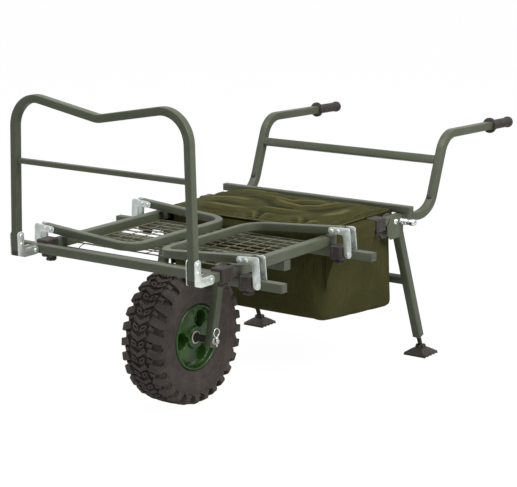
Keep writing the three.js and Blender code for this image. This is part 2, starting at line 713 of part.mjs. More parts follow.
const hoopShare = (HOOP_BAR_Z - HOOP_BEND_Z) / (HOOP_CORNER_Z - HOOP_BEND_Z);
const hoopSideX = THREE.MathUtils.lerp(RAIL_X, HOOP_CORNER_X, hoopShare);
const hoopBarHalf = hoopSideX - SLIM_SIDE / 2 - HOOP_BAR_GAP;
const hoopBarY = HOOP_Y + HOOP_LEAN * hoopShare;
const hoopBarPath = [point(-hoopBarHalf, hoopBarY, HOOP_BAR_Z), point(hoopBarHalf, hoopBarY, HOOP_BAR_Z)];
place("front_crossbar", squareTube(hoopBarPath, HOOP_BAR_SIDE, TUBE_WALL, Y_AXIS), paint);

// Bracket plates on both faces of a tube, held together by the pivot bolt and by rivets.
// The outline and the bolts are in (y, z) for normal x, and in (x, z) for normal y.
function bracket(outline, bolts, normal) {
  const plates = [-1, 1].map((face) => {
    const shift = face * (PLATE_OFFSET + PLATE / 2);
    const offset = normal === "x" ? [shift, 0, 0] : [0, shift, 0];
    return slab(outline, PLATE, normal).translate(offset);
  });
  const at = (depth, [first, second]) => {
    return normal === "x" ? point(depth, first, second) : point(first, depth, second);
  };
  const outer = PLATE_OFFSET + PLATE;
  const pins = bolts.flatMap(({ centre, radius }) => [
    rod(at(-outer, centre), at(outer, centre), radius, BOLT_SIDES),
    rod(at(-outer - HEAD, centre), at(-outer + WELD_DEPTH, centre), HEAD_R, BOLT_SIDES),
    rod(at(outer - WELD_DEPTH, centre), at(outer + HEAD, centre), HEAD_R, BOLT_SIDES),
  ]);
  return join([...plates, ...pins]);
}

for (const { name, side } of SIDES) {
  const far = HOOP_Y - FRONT_PIVOT_Y;
  const outline = [
    ...arc([0, 0], BRACKET_HALF, -90, 90, ARC_STEPS),
    [far + BRACKET_HALF + FRONT_BRACKET_FILLET, BRACKET_HALF],
    [far + BRACKET_HALF, BRACKET_HALF + FRONT_BRACKET_FILLET],
    [far + BRACKET_HALF, FRONT_BRACKET_RISE],
    [far - BRACKET_HALF, FRONT_BRACKET_RISE],
    [far - BRACKET_HALF, -FRONT_BRACKET_DROP],
    [far + BRACKET_HALF, -BRACKET_HALF],
  ];
  const bolts = [{ centre: [0, 0], radius: PIVOT_R }];
  bolts.push(...FRONT_RIVETS.map((rise) => ({ centre: [far, rise], radius: RIVET_R })));
  const body = bracket(outline, bolts, "x").translate([side * RAIL_X, FRONT_PIVOT_Y, RAIL_Z]);
  place(`front_bracket_${name}`, geometryOf(body), zinc);
}

for (const { name, side } of SIDES) {
  const x = side * RAIL_X;
  const half = SLIM_SIDE / 2;
  const spigot = half - TUBE_WALL - SEAT_GAP;
  const step = (reach, top) => {
    return block([x - reach, HOOP_Y - reach, HOOP_PLUG_BOTTOM_Z], [x + reach, HOOP_Y + reach, top]);
  };
  const plug = step(half, HOOP_FOOT_Z).add(step(spigot, HOOP_FOOT_Z + PLUG_SPIGOT));
  place(`upright_plug_${name}`, geometryOf(plug), black);
}

// Side frames, the stubs that carry them and the brackets they hinge on. Frames and brackets are
// drawn level about the pivot, then tipped inwards. The arms lie as low as still lets them pass
// over the rail's inner edge when the stubs are drawn right out.
function sideRise() {
  const tilt = THREE.MathUtils.degToRad(SIDE_TILT);
  const reach = SIDE_PIVOT_X + SIDE_TRAVEL - RAIL_X + RAIL_SIDE / 2;
  const under = RAIL_TOP + SEAT_GAP - SLEEVE_Z + reach * Math.tan(tilt);
  return under * Math.cos(tilt) + SLIM_SIDE / 2;
}

function sideFrame(side, rise) {
  const corners = [
    point(-side * SIDE_ARM_START, FRONT_SLEEVE_Y, rise),
    point(-side * SIDE_ARM_REACH, FRONT_SLEEVE_Y, rise),
    point(-side * SIDE_ARM_REACH, REAR_SLEEVE_Y, rise),
    point(-side * SIDE_ARM_START, REAR_SLEEVE_Y, rise),
  ];
  const path = roundedPath(corners, [SIDE_FRAME_CORNER_R, SIDE_FRAME_CORNER_R], BEND_STEPS);
  const holes = SLEEVES.flatMap(([, y]) => SIDE_RIVETS.map((inward) => {
    const ends = [y - TUBE_SIDE, y + TUBE_SIDE].map((along) => point(-side * inward, along, rise));
    return rod(...ends, RIVET_R + PIN_GAP);
  }));
  return cut(solid(squareTube(path, SLIM_SIDE, TUBE_WALL, Z_AXIS)), holes);
}

function sideBracket(side, rise) {
  const outline = [
    ...arc([0, 0], BRACKET_HALF, 180, 360, ARC_STEPS),
    [BRACKET_HALF, rise + SIDE_LEG_HALF - SIDE_BRACKET_FILLET],
    [BRACKET_HALF - SIDE_BRACKET_FILLET, rise + SIDE_LEG_HALF],
    [SIDE_BRACKET_FILLET / 2 - SIDE_BRACKET_REACH, rise + SIDE_LEG_HALF],
    [-SIDE_BRACKET_REACH, rise + SIDE_LEG_HALF / 2],
    [-SIDE_BRACKET_REACH, rise - SIDE_LEG_HALF / 2],
    [SIDE_BRACKET_FILLET / 2 - SIDE_BRACKET_REACH, rise - SIDE_LEG_HALF],
    [-BRACKET_HALF - SIDE_BRACKET_FILLET, rise - SIDE_LEG_HALF],
    [-BRACKET_HALF, rise - SIDE_LEG_HALF - SIDE_BRACKET_FILLET],
  ].map(([x, z]) => [side * x, z]);
  const bolts = [{ centre: [0, 0], radius: PIVOT_R }];
  bolts.push(...SIDE_RIVETS.map((inward) => ({ centre: [-side * inward, rise], radius: RIVET_R })));
  return bracket(outline, bolts, "y");
}

function sideStub(side, y) {
  const end = SIDE_PIVOT_X + STUB_PAST_PIVOT;
  const path = [point(side * (end - STUB_LENGTH), y, SLEEVE_Z), point(side * end, y, SLEEVE_Z)];
  const ends = [y - TUBE_SIDE, y + TUBE_SIDE].map((along) => point(side * SIDE_PIVOT_X, along, SLEEVE_Z));
  return cut(solid(squareTube(path, TUBE_SIDE, TUBE_WALL, Y_AXIS)), [rod(...ends, PIVOT_R + PIN_GAP)]);
}

for (const { name, side } of SIDES) {
  const rise = sideRise();
  const tipped = (body, y) => {
    return body.rotate([0, -side * SIDE_TILT, 0]).translate([side * SIDE_PIVOT_X, y, SLEEVE_Z]);
  };
  place(`side_frame_${name}`, geometryOf(tipped(sideFrame(side, rise), 0)), paint);
  for (const [end, y] of SLEEVES) {
    place(`side_bracket_${end}_${name}`, geometryOf(tipped(sideBracket(side, rise), y)), zinc);
    place(`side_stub_${end}_${name}`, geometryOf(sideStub(side, y)), paint);
  }
}

// Clamp collar blocks around the mouths of the rails and the sleeves: low and high are the ends
// along the tube, mouth is where the outer tube ends, and axis is "x" or "y"
function collar(low, high, mouth, axis) {
  const half = COLLAR_SIDE / 2;
  const box = (from, to, reach) => {
    const [a, b] = [Math.min(from, to), Math.max(from, to)];
    if (axis === "x") {
      return block([a, -reach, -reach], [b, reach, reach]);
    }
    return block([-reach, a, -reach], [reach, b, reach]);
  };
  const back = Math.abs(low - mouth) > Math.abs(high - mouth) ? low : high;
  const bore = box(back + Math.sign(back - mouth) * CUT_OVERRUN, mouth, RAIL_SIDE / 2 + SEAT_GAP);
  const slide = box(low - CUT_OVERRUN, high + CUT_OVERRUN, TUBE_SIDE / 2 + SLIDE_GAP);
  const middle = (low + high) / 2;
  const centre = axis === "x" ? [middle, 0] : [0, middle];
  const hole = rod(point(...centre, -half - CUT_OVERRUN), point(...centre, 0), SCREW_HOLE_R, PIN_SIDES);
  return cut(box(low, high, half), [bore, slide, hole]);
}

// Thumbscrew knob: a lobed head below a round neck, with a screw up to the inner tube
function knob() {
  const top = -COLLAR_SIDE / 2 - KNOB_DROP;
  const bottom = top - KNOB_HEIGHT;
  const chamfer = KNOB_DROP;
  const outline = [[0, bottom], [KNOB_R - chamfer, bottom], [KNOB_R, bottom + chamfer],
    [KNOB_R, top - chamfer - chamfer], [KNOB_COLLAR_R, top - chamfer], [KNOB_COLLAR_R, top], [0, top]];
  const head = turned(outline, KNOB_LOBES * KNOB_LOBE_STEPS).rotateX(Math.PI / 2);
  const position = head.getAttribute("position");
  for (let i = 0; i < position.count; i += 1) {
    const radius = Math.hypot(position.getX(i), position.getY(i));
    if (radius > KNOB_COLLAR_R + chamfer) {
      const angle = Math.atan2(position.getY(i), position.getX(i));
      const scale = 1 - (KNOB_LOBE_SHARE * (1 - Math.cos(KNOB_LOBES * angle))) / 2;
      position.setX(i, position.getX(i) * scale);
      position.setY(i, position.getY(i) * scale);
    }
  }
  const tip = -TUBE_SIDE / 2 - SEAT_GAP;
  return solid(head).add(rod(point(0, 0, bottom + chamfer), point(0, 0, tip), SCREW_R, PIN_SIDES));
}

for (const { name, side } of SIDES) {
  const railCollars = [["front", FRONT_COLLAR_Y, RAIL_FRONT_Y], ["rear", REAR_COLLAR_Y, RAIL_REAR_Y]];
  for (const [end, y, mouth] of railCollars) {
    const body = collar(y - RAIL_COLLAR / 2, y + RAIL_COLLAR / 2, mouth, "y");
    place(`rail_collar_${end}_${name}`, geometryOf(body.translate([side * RAIL_X, 0, RAIL_Z])), black);
    place(`rail_knob_${end}_${name}`, geometryOf(knob().translate([side * RAIL_X, y, RAIL_Z])), black);
  }
  for (const [end, y] of SLEEVES) {
    const x = side * SLEEVE_COLLAR_X;
    const body = collar(x - SLEEVE_COLLAR / 2, x + SLEEVE_COLLAR / 2, side * SLEEVE_HALF, "x");
    place(`side_collar_${end}_${name}`, geometryOf(body.translate([0, y, SLEEVE_Z])), black);
    place(`side_knob_${end}_${name}`, geometryOf(knob().translate([x, y, SLEEVE_Z])), black);
  }
}

// Handles: each tube starts inside a rail, splays out, climbs and runs back level
function handlePath(side) {
  const corners = [
    point(RAIL_X, HANDLE_FRONT_Y, RAIL_Z),
    point(RAIL_X, HANDLE_SPLAY_Y, RAIL_Z),
    point(...HANDLE_LOW_CORNER),
    point(...HANDLE_HIGH_CORNER),
    point(...GRIP_END),
  ];
  const path = roundedPath(corners, [HANDLE_SPLAY_R, HANDLE_LOW_R, HANDLE_HIGH_R], BEND_STEPS);
  return path.map(({ x, y, z }) => point(side * x, y, z));
}

const gripAlong = point(...GRIP_END).sub(point(...HANDLE_HIGH_CORNER)).normalize();
const tubeEnd = point(...GRIP_END).addScaledVector(gripAlong, -GRIP_LENGTH - SEAT_GAP);

for (const { name, side } of SIDES) {
  const path = handlePath(side);
  path[path.length - 1] = point(side * tubeEnd.x, tubeEnd.y, tubeEnd.z);
  const pivot = [side * RAIL_X, LEG_PIVOT_Y, LEG_PIVOT_Z];
  const hole = crossBolt(...pivot, TUBE_SIDE, LEG_PIN_R + PIN_GAP, BORE_SIDES);
  const tube = cut(solid(squareTube(path, TUBE_SIDE, TUBE_WALL, X_AXIS)), [hole]);
  place(`handle_${name}`, geometryOf(tube), paint);
}

const lowCorner = point(...HANDLE_LOW_CORNER);
const climb = point(...HANDLE_HIGH_CORNER).sub(lowCorner);
const barAt = lowCorner.clone().addScaledVector(climb, (HANDLE_BAR_Z - lowCorner.z) / climb.z);
const barHalf = barAt.x - TUBE_SIDE / 2 - SEAT_GAP;
const barAcross = point(0, climb.y, climb.z).normalize();
const barPath = [point(-barHalf, barAt.y, barAt.z), point(barHalf, barAt.y, barAt.z)];
place("handle_crossbar", squareTube(barPath, TUBE_SIDE, TUBE_WALL, barAcross), paint);

const rearBarZ = RAIL_Z + TUBE_SIDE / 2 + SEAT_GAP + SLIM_SIDE / 2;
const rearBarPath = [point(-REAR_BAR_HALF, REAR_BAR_Y, rearBarZ), point(REAR_BAR_HALF, REAR_BAR_Y, rearBarZ)];
place("rear_crossbar", squareTube(rearBarPath, SLIM_SIDE, TUBE_WALL, Y_AXIS), paint);

// Grips: a flanged handle with a square spigot inside the tube
function grip() {
  const outline = [
    [0, 0],
    [GRIP_FLANGE_R, 0],
    [GRIP_FLANGE_R, GRIP_FLANGE],
    [GRIP_R, GRIP_FLANGE + GRIP_FLANGE],
    [GRIP_WAIST_R, GRIP_LENGTH / 2],
    [GRIP_R, GRIP_LENGTH - GRIP_END_BULGE - GRIP_FLANGE],
    [GRIP_END_R, GRIP_LENGTH - GRIP_END_BULGE],
    [GRIP_END_R, GRIP_LENGTH - GRIP_FLANGE],
    [GRIP_R, GRIP_LENGTH],
    [0, GRIP_LENGTH],
  ];
  const spigot = TUBE_SIDE / 2 - TUBE_WALL - SEAT_GAP;
  const body = join([
    solid(turned(outline, BORE_SIDES)),
    block([-spigot, -GRIP_SPIGOT, -spigot], [spigot, GRIP_FLANGE, spigot]),
  ]);
  const tilt = THREE.MathUtils.radToDeg(Math.atan2(gripAlong.z, gripAlong.y));
  return body.rotate([tilt, 0, 0]);
}

for (const { name, side } of SIDES) {
  const start = point(...GRIP_END).addScaledVector(gripAlong, -GRIP_LENGTH);
  place(`grip_${name}`, geometryOf(grip().translate([side * start.x, start.y, start.z])), black);
}

// Leg frame: two raked legs with ball ends, a brace between them, and the plates that hang them
// from the handles, with the pivot bolts and the plunger bases
const legLow = point(RAIL_X, ...LEG_LINE_LOW);
const legRake = point(RAIL_X, ...LEG_LINE_HIGH).sub(legLow);

function onLeg(z, x = RAIL_X) {
  const spot = legLow.clone().addScaledVector(legRake, (z - legLow.z) / legRake.z);
  return point(x, spot.y, spot.z);
}

function legFrame() {
  const top = RAIL_Z - TUBE_SIDE / 2 - SEAT_GAP;
  const round = arc([LEG_PIVOT_Y, LEG_PIVOT_Z], LEG_PLATE_R, 60, 130, ARC_STEPS);
  const outline = [...LEG_PLATE, ...round, ...LEG_PLATE_FRONT];
  const pieces = [];
  const holes = [];
  for (const { side } of SIDES) {
    const x = side * RAIL_X;
    const upper = onLeg(top, x);
    const lower = onLeg(LEG_BOTTOM_Z, x);
    pieces.push(solid(squareTube([upper, lower], LEG_SIDE, TUBE_WALL, X_AXIS, Z_AXIS)));
    for (const face of [-1, 1]) {
      pieces.push(slab(outline, PLATE, "x").translate([x + face * (PLATE_OFFSET + PLATE / 2), 0, 0]));
      const outer = PLATE_OFFSET + PLATE;
      const from = point(x + face * (outer - WELD_DEPTH), LEG_PIVOT_Y, LEG_PIVOT_Z);
      pieces.push(rod(from, point(x + face * (outer + LEG_HEAD), LEG_PIVOT_Y, LEG_PIVOT_Z), LEG_HEAD_R));
    }
    pieces.push(crossBolt(x, LEG_PIVOT_Y, LEG_PIVOT_Z, PLATE_OFFSET + PLATE, LEG_PIN_R));
    const start = x + side * (PLATE_OFFSET + PLATE - WELD_DEPTH);
    const finish = x + side * (PLATE_OFFSET + PLATE + PLUNGER_BASE);
    const base = [start, finish].map((across) => point(across, PLUNGER_Y, PLUNGER_Z));
    pieces.push(rod(...base, PLUNGER_BASE_R, BORE_SIDES));
    const inside = point(x + (side * TUBE_SIDE) / 2, PLUNGER_Y, PLUNGER_Z);
    const beyond = point(finish + side * CUT_OVERRUN, PLUNGER_Y, PLUNGER_Z);
    holes.push(rod(inside, beyond, PLUNGER_PIN_R + PIN_GAP));
    const ball = point(x, BALL_Y, BALL_Z);
    const plugTop = onLeg(LEG_BOTTOM_Z + STEM_PLUG, x);
    const plug = new THREE.BoxGeometry(LEG_SIDE - TUBE_WALL, LEG_SIDE - TUBE_WALL, plugTop.distanceTo(lower));
    plug.rotateX(Math.atan2(-legRake.y, legRake.z));
    const middle = plugTop.clone().add(lower).divideScalar(2);
    pieces.push(solid(plug.translate(middle.x, middle.y, middle.z)));
    pieces.push(rod(middle, ball, STEM_ROOT_R, AXLE_SIDES, STEM_R));
    pieces.push(solid(new THREE.SphereGeometry(BALL_R, BALL_SIDES, BALL_RINGS).translate(x, BALL_Y, BALL_Z)));
  }
  const half = RAIL_X - LEG_SIDE / 2 + WELD_DEPTH;
  const brace = onLeg(LEG_BRACE_Z, 0);
  const bracePath = [point(-half, brace.y, brace.z), point(half, brace.y, brace.z)];
  pieces.push(solid(squareTube(bracePath, SLIM_SIDE, TUBE_WALL, legRake.clone().setX(0).normalize())));
  holes.push(rod(brace, point(0, brace.y, brace.z - SLIM_SIDE), VENT_R));
  return cut(join(pieces), holes);
}
place("leg_frame", geometryOf(legFrame()), paint);

// Plungers: a pin through the base and the outer plate, with a pull knob outside
for (const { name, side } of SIDES) {
  const tip = RAIL_X + PLATE_OFFSET;
  const baseEnd = RAIL_X + PLATE_OFFSET + PLATE + PLUNGER_BASE + SEAT_GAP;
  const knobEnd = baseEnd + PLUNGER_KNOB;
  const neckEnd = baseEnd + PLUNGER_KNOB / 3;
  const rimAt = knobEnd - PLUNGER_NECK_R / 2;
  const at = (x) => point(side * x, PLUNGER_Y, PLUNGER_Z);
  const body = join([
    rod(at(tip), at(baseEnd + CUT_OVERRUN), PLUNGER_PIN_R),
    rod(at(baseEnd), at(neckEnd), PLUNGER_KNOB_R, BORE_SIDES, PLUNGER_NECK_R),
    rod(at(neckEnd), at(rimAt), PLUNGER_NECK_R, BORE_SIDES, PLUNGER_KNOB_R),
    rod(at(rimAt), at(knobEnd), PLUNGER_KNOB_R, BORE_SIDES, PLUNGER_NECK_R),
  ]);
  place(`plunger_${name}`, geometryOf(body), chrome);
}

// Feet: a cleated square base with a boss and a socket for the leg's ball
function foot() {
  const half = FOOT_SIDE / 2;
  const rib = FOOT_SIDE / (2 * FOOT_CLEATS - 1);
  const cleats = Array.from({ length: FOOT_CLEATS }, (_, i) => {
    const y = -half + 2 * i * rib;
    return block([-half, y, 0], [half, y + rib, FOOT_CLEAT + WELD_DEPTH]);
  });
  const low = point(0, 0, FOOT_CLEAT + WELD_DEPTH);
  const body = join([
    block([-half, -half, FOOT_CLEAT], [half, half, FOOT_CLEAT + FOOT_BASE]),
    rod(low, point(0, 0, FOOT_BOSS_TOP), FOOT_SKIRT_R, HUB_SIDES, FOOT_BOSS_R),
    ...cleats,
  ]);
  const socket = new THREE.SphereGeometry(BALL_R + BALL_GAP, BALL_SIDES, BALL_RINGS).translate(0, 0, BALL_Z);
  const top = point(0, 0, FOOT_BOSS_TOP + CUT_OVERRUN);
  const mouth = rod(point(0, 0, BALL_Z), top, BALL_R, BORE_SIDES, FOOT_MOUTH_R);
  return cut(body, [solid(socket), mouth]);
}

for (const { name, side } of SIDES) {
  place(`foot_${name}`, geometryOf(foot().translate([side * RAIL_X, BALL_Y, 0])), black);
}

// Bag: an open tub with a sloping bottom, and on each side a hem that wraps a rail with a skirt
// below it
function bag() {
  const bagTop = RAIL_TOP + SEAT_GAP + HEM_WALL;
  const tub = (inset, overrun) => {
    const half = BAG_HALF - inset;
    const section = [
      [-half, bagTop + overrun],
      [-half, BAG_REAR_BOTTOM_Z + inset + BAG_CORNER],
      [-half + BAG_CORNER, BAG_REAR_BOTTOM_Z + inset],
      [half - BAG_CORNER, BAG_REAR_BOTTOM_Z + inset],
      [half, BAG_REAR_BOTTOM_Z + inset + BAG_CORNER],
      [half, bagTop + overrun],
    ];
    const lowRear = BAG_REAR_Y + BAG_REAR_BULGE - inset;
    const length = lowRear - BAG_FRONT_Y - inset;
    const shape = slab(section, length, "y").translate([0, (BAG_FRONT_Y + inset + lowRear) / 2, 0]);
    const side = [
      [BAG_FRONT_Y + inset, bagTop + overrun],
      [BAG_FRONT_Y + inset, BAG_FRONT_BOTTOM_Z + inset + BAG_CORNER],
      [BAG_FRONT_Y + inset + BAG_CORNER, BAG_FRONT_BOTTOM_Z + inset],
      [lowRear - BAG_CORNER, BAG_REAR_BOTTOM_Z + inset],
      [lowRear, BAG_REAR_BOTTOM_Z + inset + BAG_CORNER],
      [BAG_REAR_Y - inset, bagTop + overrun],
    ];
    return shape.intersect(slab(side, 2 * BAG_HALF, "x"));
  };
  const railOuter = RAIL_X + RAIL_SIDE / 2 + SEAT_GAP;
  const skirtFoot = BAG_HALF - BAG_WALL / 2;
  const hem = [
    [railOuter + HEM_WALL, bagTop],
    [railOuter + HEM_WALL, HEM_DROP_Z],
    [skirtFoot + HEM_WALL, SKIRT_BOTTOM_Z - HEM_WALL],
    [skirtFoot, SKIRT_BOTTOM_Z - HEM_WALL],
    [skirtFoot, SKIRT_BOTTOM_Z],
    [railOuter, HEM_DROP_Z],
    [railOuter, RAIL_TOP + SEAT_GAP],
    [skirtFoot, RAIL_TOP + SEAT_GAP],
    [skirtFoot, bagTop],
  ];
  const hems = SIDES.map(({ side }) => {
    const outline = hem.map(([x, z]) => [side * x, z]);
    return slab(outline, HEM_REAR_Y - HEM_FRONT_Y, "y").translate([0, (HEM_REAR_Y + HEM_FRONT_Y) / 2, 0]);
  });
  return cut(tub(0, 0), [tub(BAG_WALL, CUT_OVERRUN)]).add(join(hems));
}
place("bag_body", geometryOf(bag()), cloth);

// Bag lid: a padded panel with a crowned top
function lid() {
  const bottom = RAIL_TOP + SEAT_GAP + HEM_WALL + SEAT_GAP;
  const vertices = [];
  const faces = [];
  const row = LID_STEPS + 1;
  for (const layer of [0, 1]) {
    for (let i = 0; i <= LID_STEPS; i += 1) {
      for (let k = 0; k <= LID_STEPS; k += 1) {
        const u = (2 * i) / LID_STEPS - 1;
        const v = (2 * k) / LID_STEPS - 1;
        const rise = layer * (LID_EDGE + LID_CROWN * (1 - u * u) * (1 - v * v));
        const y = BAG_FRONT_Y + ((BAG_REAR_Y - BAG_FRONT_Y) * k) / LID_STEPS;
        vertices.push(u * (BAG_HALF + LID_OVERHANG), y, bottom + rise);
      }
    }
  }
  const at = (layer, i, k) => layer * row * row + i * row + k;
  const quad = (a, b, c, d) => faces.push(a, b, c, a, c, d);
  for (let i = 0; i < LID_STEPS; i += 1) {
    for (let k = 0; k < LID_STEPS; k += 1) {
      quad(at(1, i, k), at(1, i + 1, k), at(1, i + 1, k + 1), at(1, i, k + 1));
      quad(at(0, i, k), at(0, i, k + 1), at(0, i + 1, k + 1), at(0, i + 1, k));
    }
    quad(at(0, i, 0), at(0, i + 1, 0), at(1, i + 1, 0), at(1, i, 0));
    quad(at(0, LID_STEPS, i), at(0, LID_STEPS, i + 1), at(1, LID_STEPS, i + 1), at(1, LID_STEPS, i));
    quad(at(0, i + 1, LID_STEPS), at(0, i, LID_STEPS), at(1, i, LID_STEPS), at(1, i + 1, LID_STEPS));
    quad(at(0, 0, i + 1), at(0, 0, i), at(1, 0, i), at(1, 0, i + 1));
  }
  const geometry = new THREE.BufferGeometry();
  geometry.setAttribute("position", new THREE.Float32BufferAttribute(vertices, 3));
  geometry.setIndex(faces);
  return outward(geometry);
}
place("bag_lid", lid(), cloth);

group.updateMatrixWorld(true);

export default group;
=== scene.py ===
"""Looks of the fishing trolley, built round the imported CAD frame.

Shapes are worked out in millimetres in the CAD script's own frame (Y from the middle of the deck),
and moved to the row frame in metres when a piece is made.
"""

import math

import bmesh
import bpy
from mathutils import Matrix, Vector, noise
from mathutils.bvhtree import BVHTree


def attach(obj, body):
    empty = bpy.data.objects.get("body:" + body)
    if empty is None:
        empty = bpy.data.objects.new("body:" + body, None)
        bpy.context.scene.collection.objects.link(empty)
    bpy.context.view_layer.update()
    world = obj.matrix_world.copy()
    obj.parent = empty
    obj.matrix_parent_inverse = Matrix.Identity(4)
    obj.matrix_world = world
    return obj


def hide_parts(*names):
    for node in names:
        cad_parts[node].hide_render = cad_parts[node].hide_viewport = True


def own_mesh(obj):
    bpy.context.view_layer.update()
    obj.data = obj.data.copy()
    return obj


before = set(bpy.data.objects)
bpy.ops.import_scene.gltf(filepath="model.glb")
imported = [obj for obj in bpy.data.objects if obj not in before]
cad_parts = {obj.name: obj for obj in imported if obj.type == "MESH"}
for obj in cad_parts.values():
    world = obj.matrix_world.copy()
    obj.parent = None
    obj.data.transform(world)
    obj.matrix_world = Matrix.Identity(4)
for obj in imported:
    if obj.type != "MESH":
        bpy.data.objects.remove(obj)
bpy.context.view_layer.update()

MM = 0.001
ORIGIN_Y = 391.5
X_AXIS = Vector((1, 0, 0))
Y_AXIS = Vector((0, 1, 0))
Z_AXIS = Vector((0, 0, 1))
SIDES = (("left", 1), ("right", -1))

# Camera, fitted to the photograph
CAMERA_AZIMUTH = 37.023
CAMERA_ELEVATION = 12.7915
CAMERA_ROLL = -0.870
CAMERA_TARGET = Vector((-0.002, -0.0915, 0.3503))
CAMERA_DISTANCE = 4.5691
CAMERA_LENS = 119.04
CAMERA_SENSOR = 36

# Frame sizes, as in the CAD script
RAIL_SIDE = 25
TUBE_SIDE = 22
SLIM_SIDE = 20
BAR_SIDE = 13
RAIL_X = 280
RAIL_Z = 410
RAIL_FRONT_Y = -236
RAIL_REAR_Y = 460
SLEEVE_Z = 384.7
SLEEVE_HALF = 320
FORK_HALF = 292.5
FORK_TUBE_Y = 25
SLEEVES = (("front", -165), ("rear", 214))
SEAT_GAP = 0.3
CORNER_R = 2.6
SLIM_CORNER_R = 2.2

# Wheel, as in the CAD script
WHEEL_Y = -30.7
WHEEL_Z = 176.2
STRUT_X = 93
STRUT_TOP_Y = 19
TREAD_PITCHES = 27
LUG_HEIGHT = 8.2
HUB_HALF = 46
AXLE_R = 6
STRUT_INNER = 81.7
STRUT_OUTER = 104.3
AXLE_END = 116.3
LINCH_X = 111.55


def srgb(red, green, blue):
    """A colour given as 0 to 255 screen values, as linear light."""
    def linear(value):
        value /= 255
        return value / 12.92 if value <= 0.04045 else ((value + 0.055) / 1.055) ** 2.4
    return (linear(red), linear(green), linear(blue), 1)


# Materials

def fill(tree, socket, value):
    """Links a socket to an output, or sets it to a constant."""
    if isinstance(value, bpy.types.NodeSocket):
        tree.links.new(value, socket)
    else:
        socket.default_value = value


def add_node(tree, kind, **inputs):
    """A new shader node with its inputs filled; an underscore in a name stands for a space."""
    node = tree.nodes.new("ShaderNode" + kind)
    for name, value in inputs.items():
        fill(tree, node.inputs[name.replace("_", " ")], value)
    return node


def add_math(tree, kind, operation, first, second):
    node = tree.nodes.new("ShaderNode" + kind)
    node.operation = operation
    fill(tree, node.inputs[0], first)
    fill(tree, node.inputs[1], second)
    return node.outputs["Value"]


class Finish:
    """A Principled material with its nodes linked by short calls."""

    def __init__(self, name, roughness, metallic=0.0, specular=0.5):
        self.material = bpy.data.materials.new(name)
        self.material.use_nodes = True
        self.tree = self.material.node_tree
        self.shader = self.tree.nodes["Principled BSDF"]
        self.shader.inputs["Roughness"].default_value = roughness
        self.shader.inputs["Metallic"].default_value = metallic
        self.shader.inputs["Specular IOR Level"].default_value = specular
        self.place = add_node(self.tree, "TexCoord").outputs["Object"]

    def noise(self, scale, detail=3.0, roughness=0.55, stretch=(1, 1, 1)):
        mapping = add_node(self.tree, "Mapping", Scale=stretch, Vector=self.place)
        texture = add_node(self.tree, "TexNoise", Scale=scale, Detail=detail, Roughness=roughness,
                           Vector=mapping.outputs["Vector"])
        return texture.outputs["Fac"]

    def bands(self, pitch, direction):
        """Parallel ridges with the given pitch in metres across X, Y or Z."""
        texture = add_node(self.tree, "TexWave", Scale=2 * math.pi / (20 * pitch), Distortion=0.4,
                           Detail=1.0, Vector=self.place)
        texture.bands_direction = direction
        return texture.outputs["Fac"]

    def worn_edges(self, radius, low, high):
        """1 on convex edges and 0 on flat faces, from how far a rounded normal turns away."""
        bevel = add_node(self.tree, "Bevel", Radius=radius)
        bevel.samples = 4
        geometry = add_node(self.tree, "NewGeometry")
        turned = add_math(self.tree, "VectorMath", "DOT_PRODUCT", bevel.outputs["Normal"],
                          geometry.outputs["Normal"])
        return self.levels(turned, low, high, 1, 0)

    def levels(self, value, low, high, out_low=0.0, out_high=1.0):
        """A value stretched from low and high to two others."""
        node = add_node(self.tree, "MapRange", From_Min=low, From_Max=high, To_Min=out_low, To_Max=out_high,
                        Value=value)
        return node.outputs["Result"]

    def patches(self, scale, detail, low, high, out_low=0.0, out_high=1.0, roughness=0.55):
        """Noise stretched between two levels."""
        return self.levels(self.noise(scale, detail, roughness), low, high, out_low, out_high)

    def combine(self, first, second, operation="MULTIPLY"):
        return add_math(self.tree, "Math", operation, first, second)

    def blend(self, share, first, second):
        node = self.tree.nodes.new("ShaderNodeMix")
        node.data_type = "RGBA"
        fill(self.tree, node.inputs["Factor"], share)
        colours = [socket for socket in node.inputs if socket.type == "RGBA"]
        fill(self.tree, colours[0], first)
        fill(self.tree, colours[1], second)
        return [socket for socket in node.outputs if socket.type == "RGBA"][0]

    def done(self, colour, gloss, grain, depth, strength):
        """The material, with its colour, its roughness and its relief; depth is in metres."""
        fill(self.tree, self.shader.inputs["Base Color"], colour)
        if gloss:
            fill(self.tree, self.shader.inputs["Roughness"], gloss)
        bump = add_node(self.tree, "Bump", Distance=depth, Strength=strength, Height=grain)
        fill(self.tree, self.shader.inputs["Normal"], bump.outputs["Normal"])
        return self.material


def paint_finish():
    """Satin olive paint with a fine orange peel, faint dust and edges rubbed paler."""
    finish = Finish("frame_paint", 0.42, specular=0.36)
    base = finish.blend(finish.patches(9, 4, 0.35, 0.65), srgb(78, 83, 66), srgb(88, 93, 76))
    dusty = finish.patches(160, 3, 0.6, 0.78, 0, 0.5, roughness=0.7)
    base = finish.blend(dusty, base, srgb(108, 110, 96))
    rubbed = finish.worn_edges(0.0014, 0.93, 0.995)
    patchy = finish.patches(45, 4, 0.4, 0.62, 0.15, 0.75)
    base = finish.blend(finish.combine(rubbed, patchy), base, srgb(150, 152, 138))
    gloss = finish.patches(30, 3, 0.3, 0.7, 0.36, 0.5)
    return finish.done(base, gloss, finish.noise(900, 2), 0.00018, 0.35)


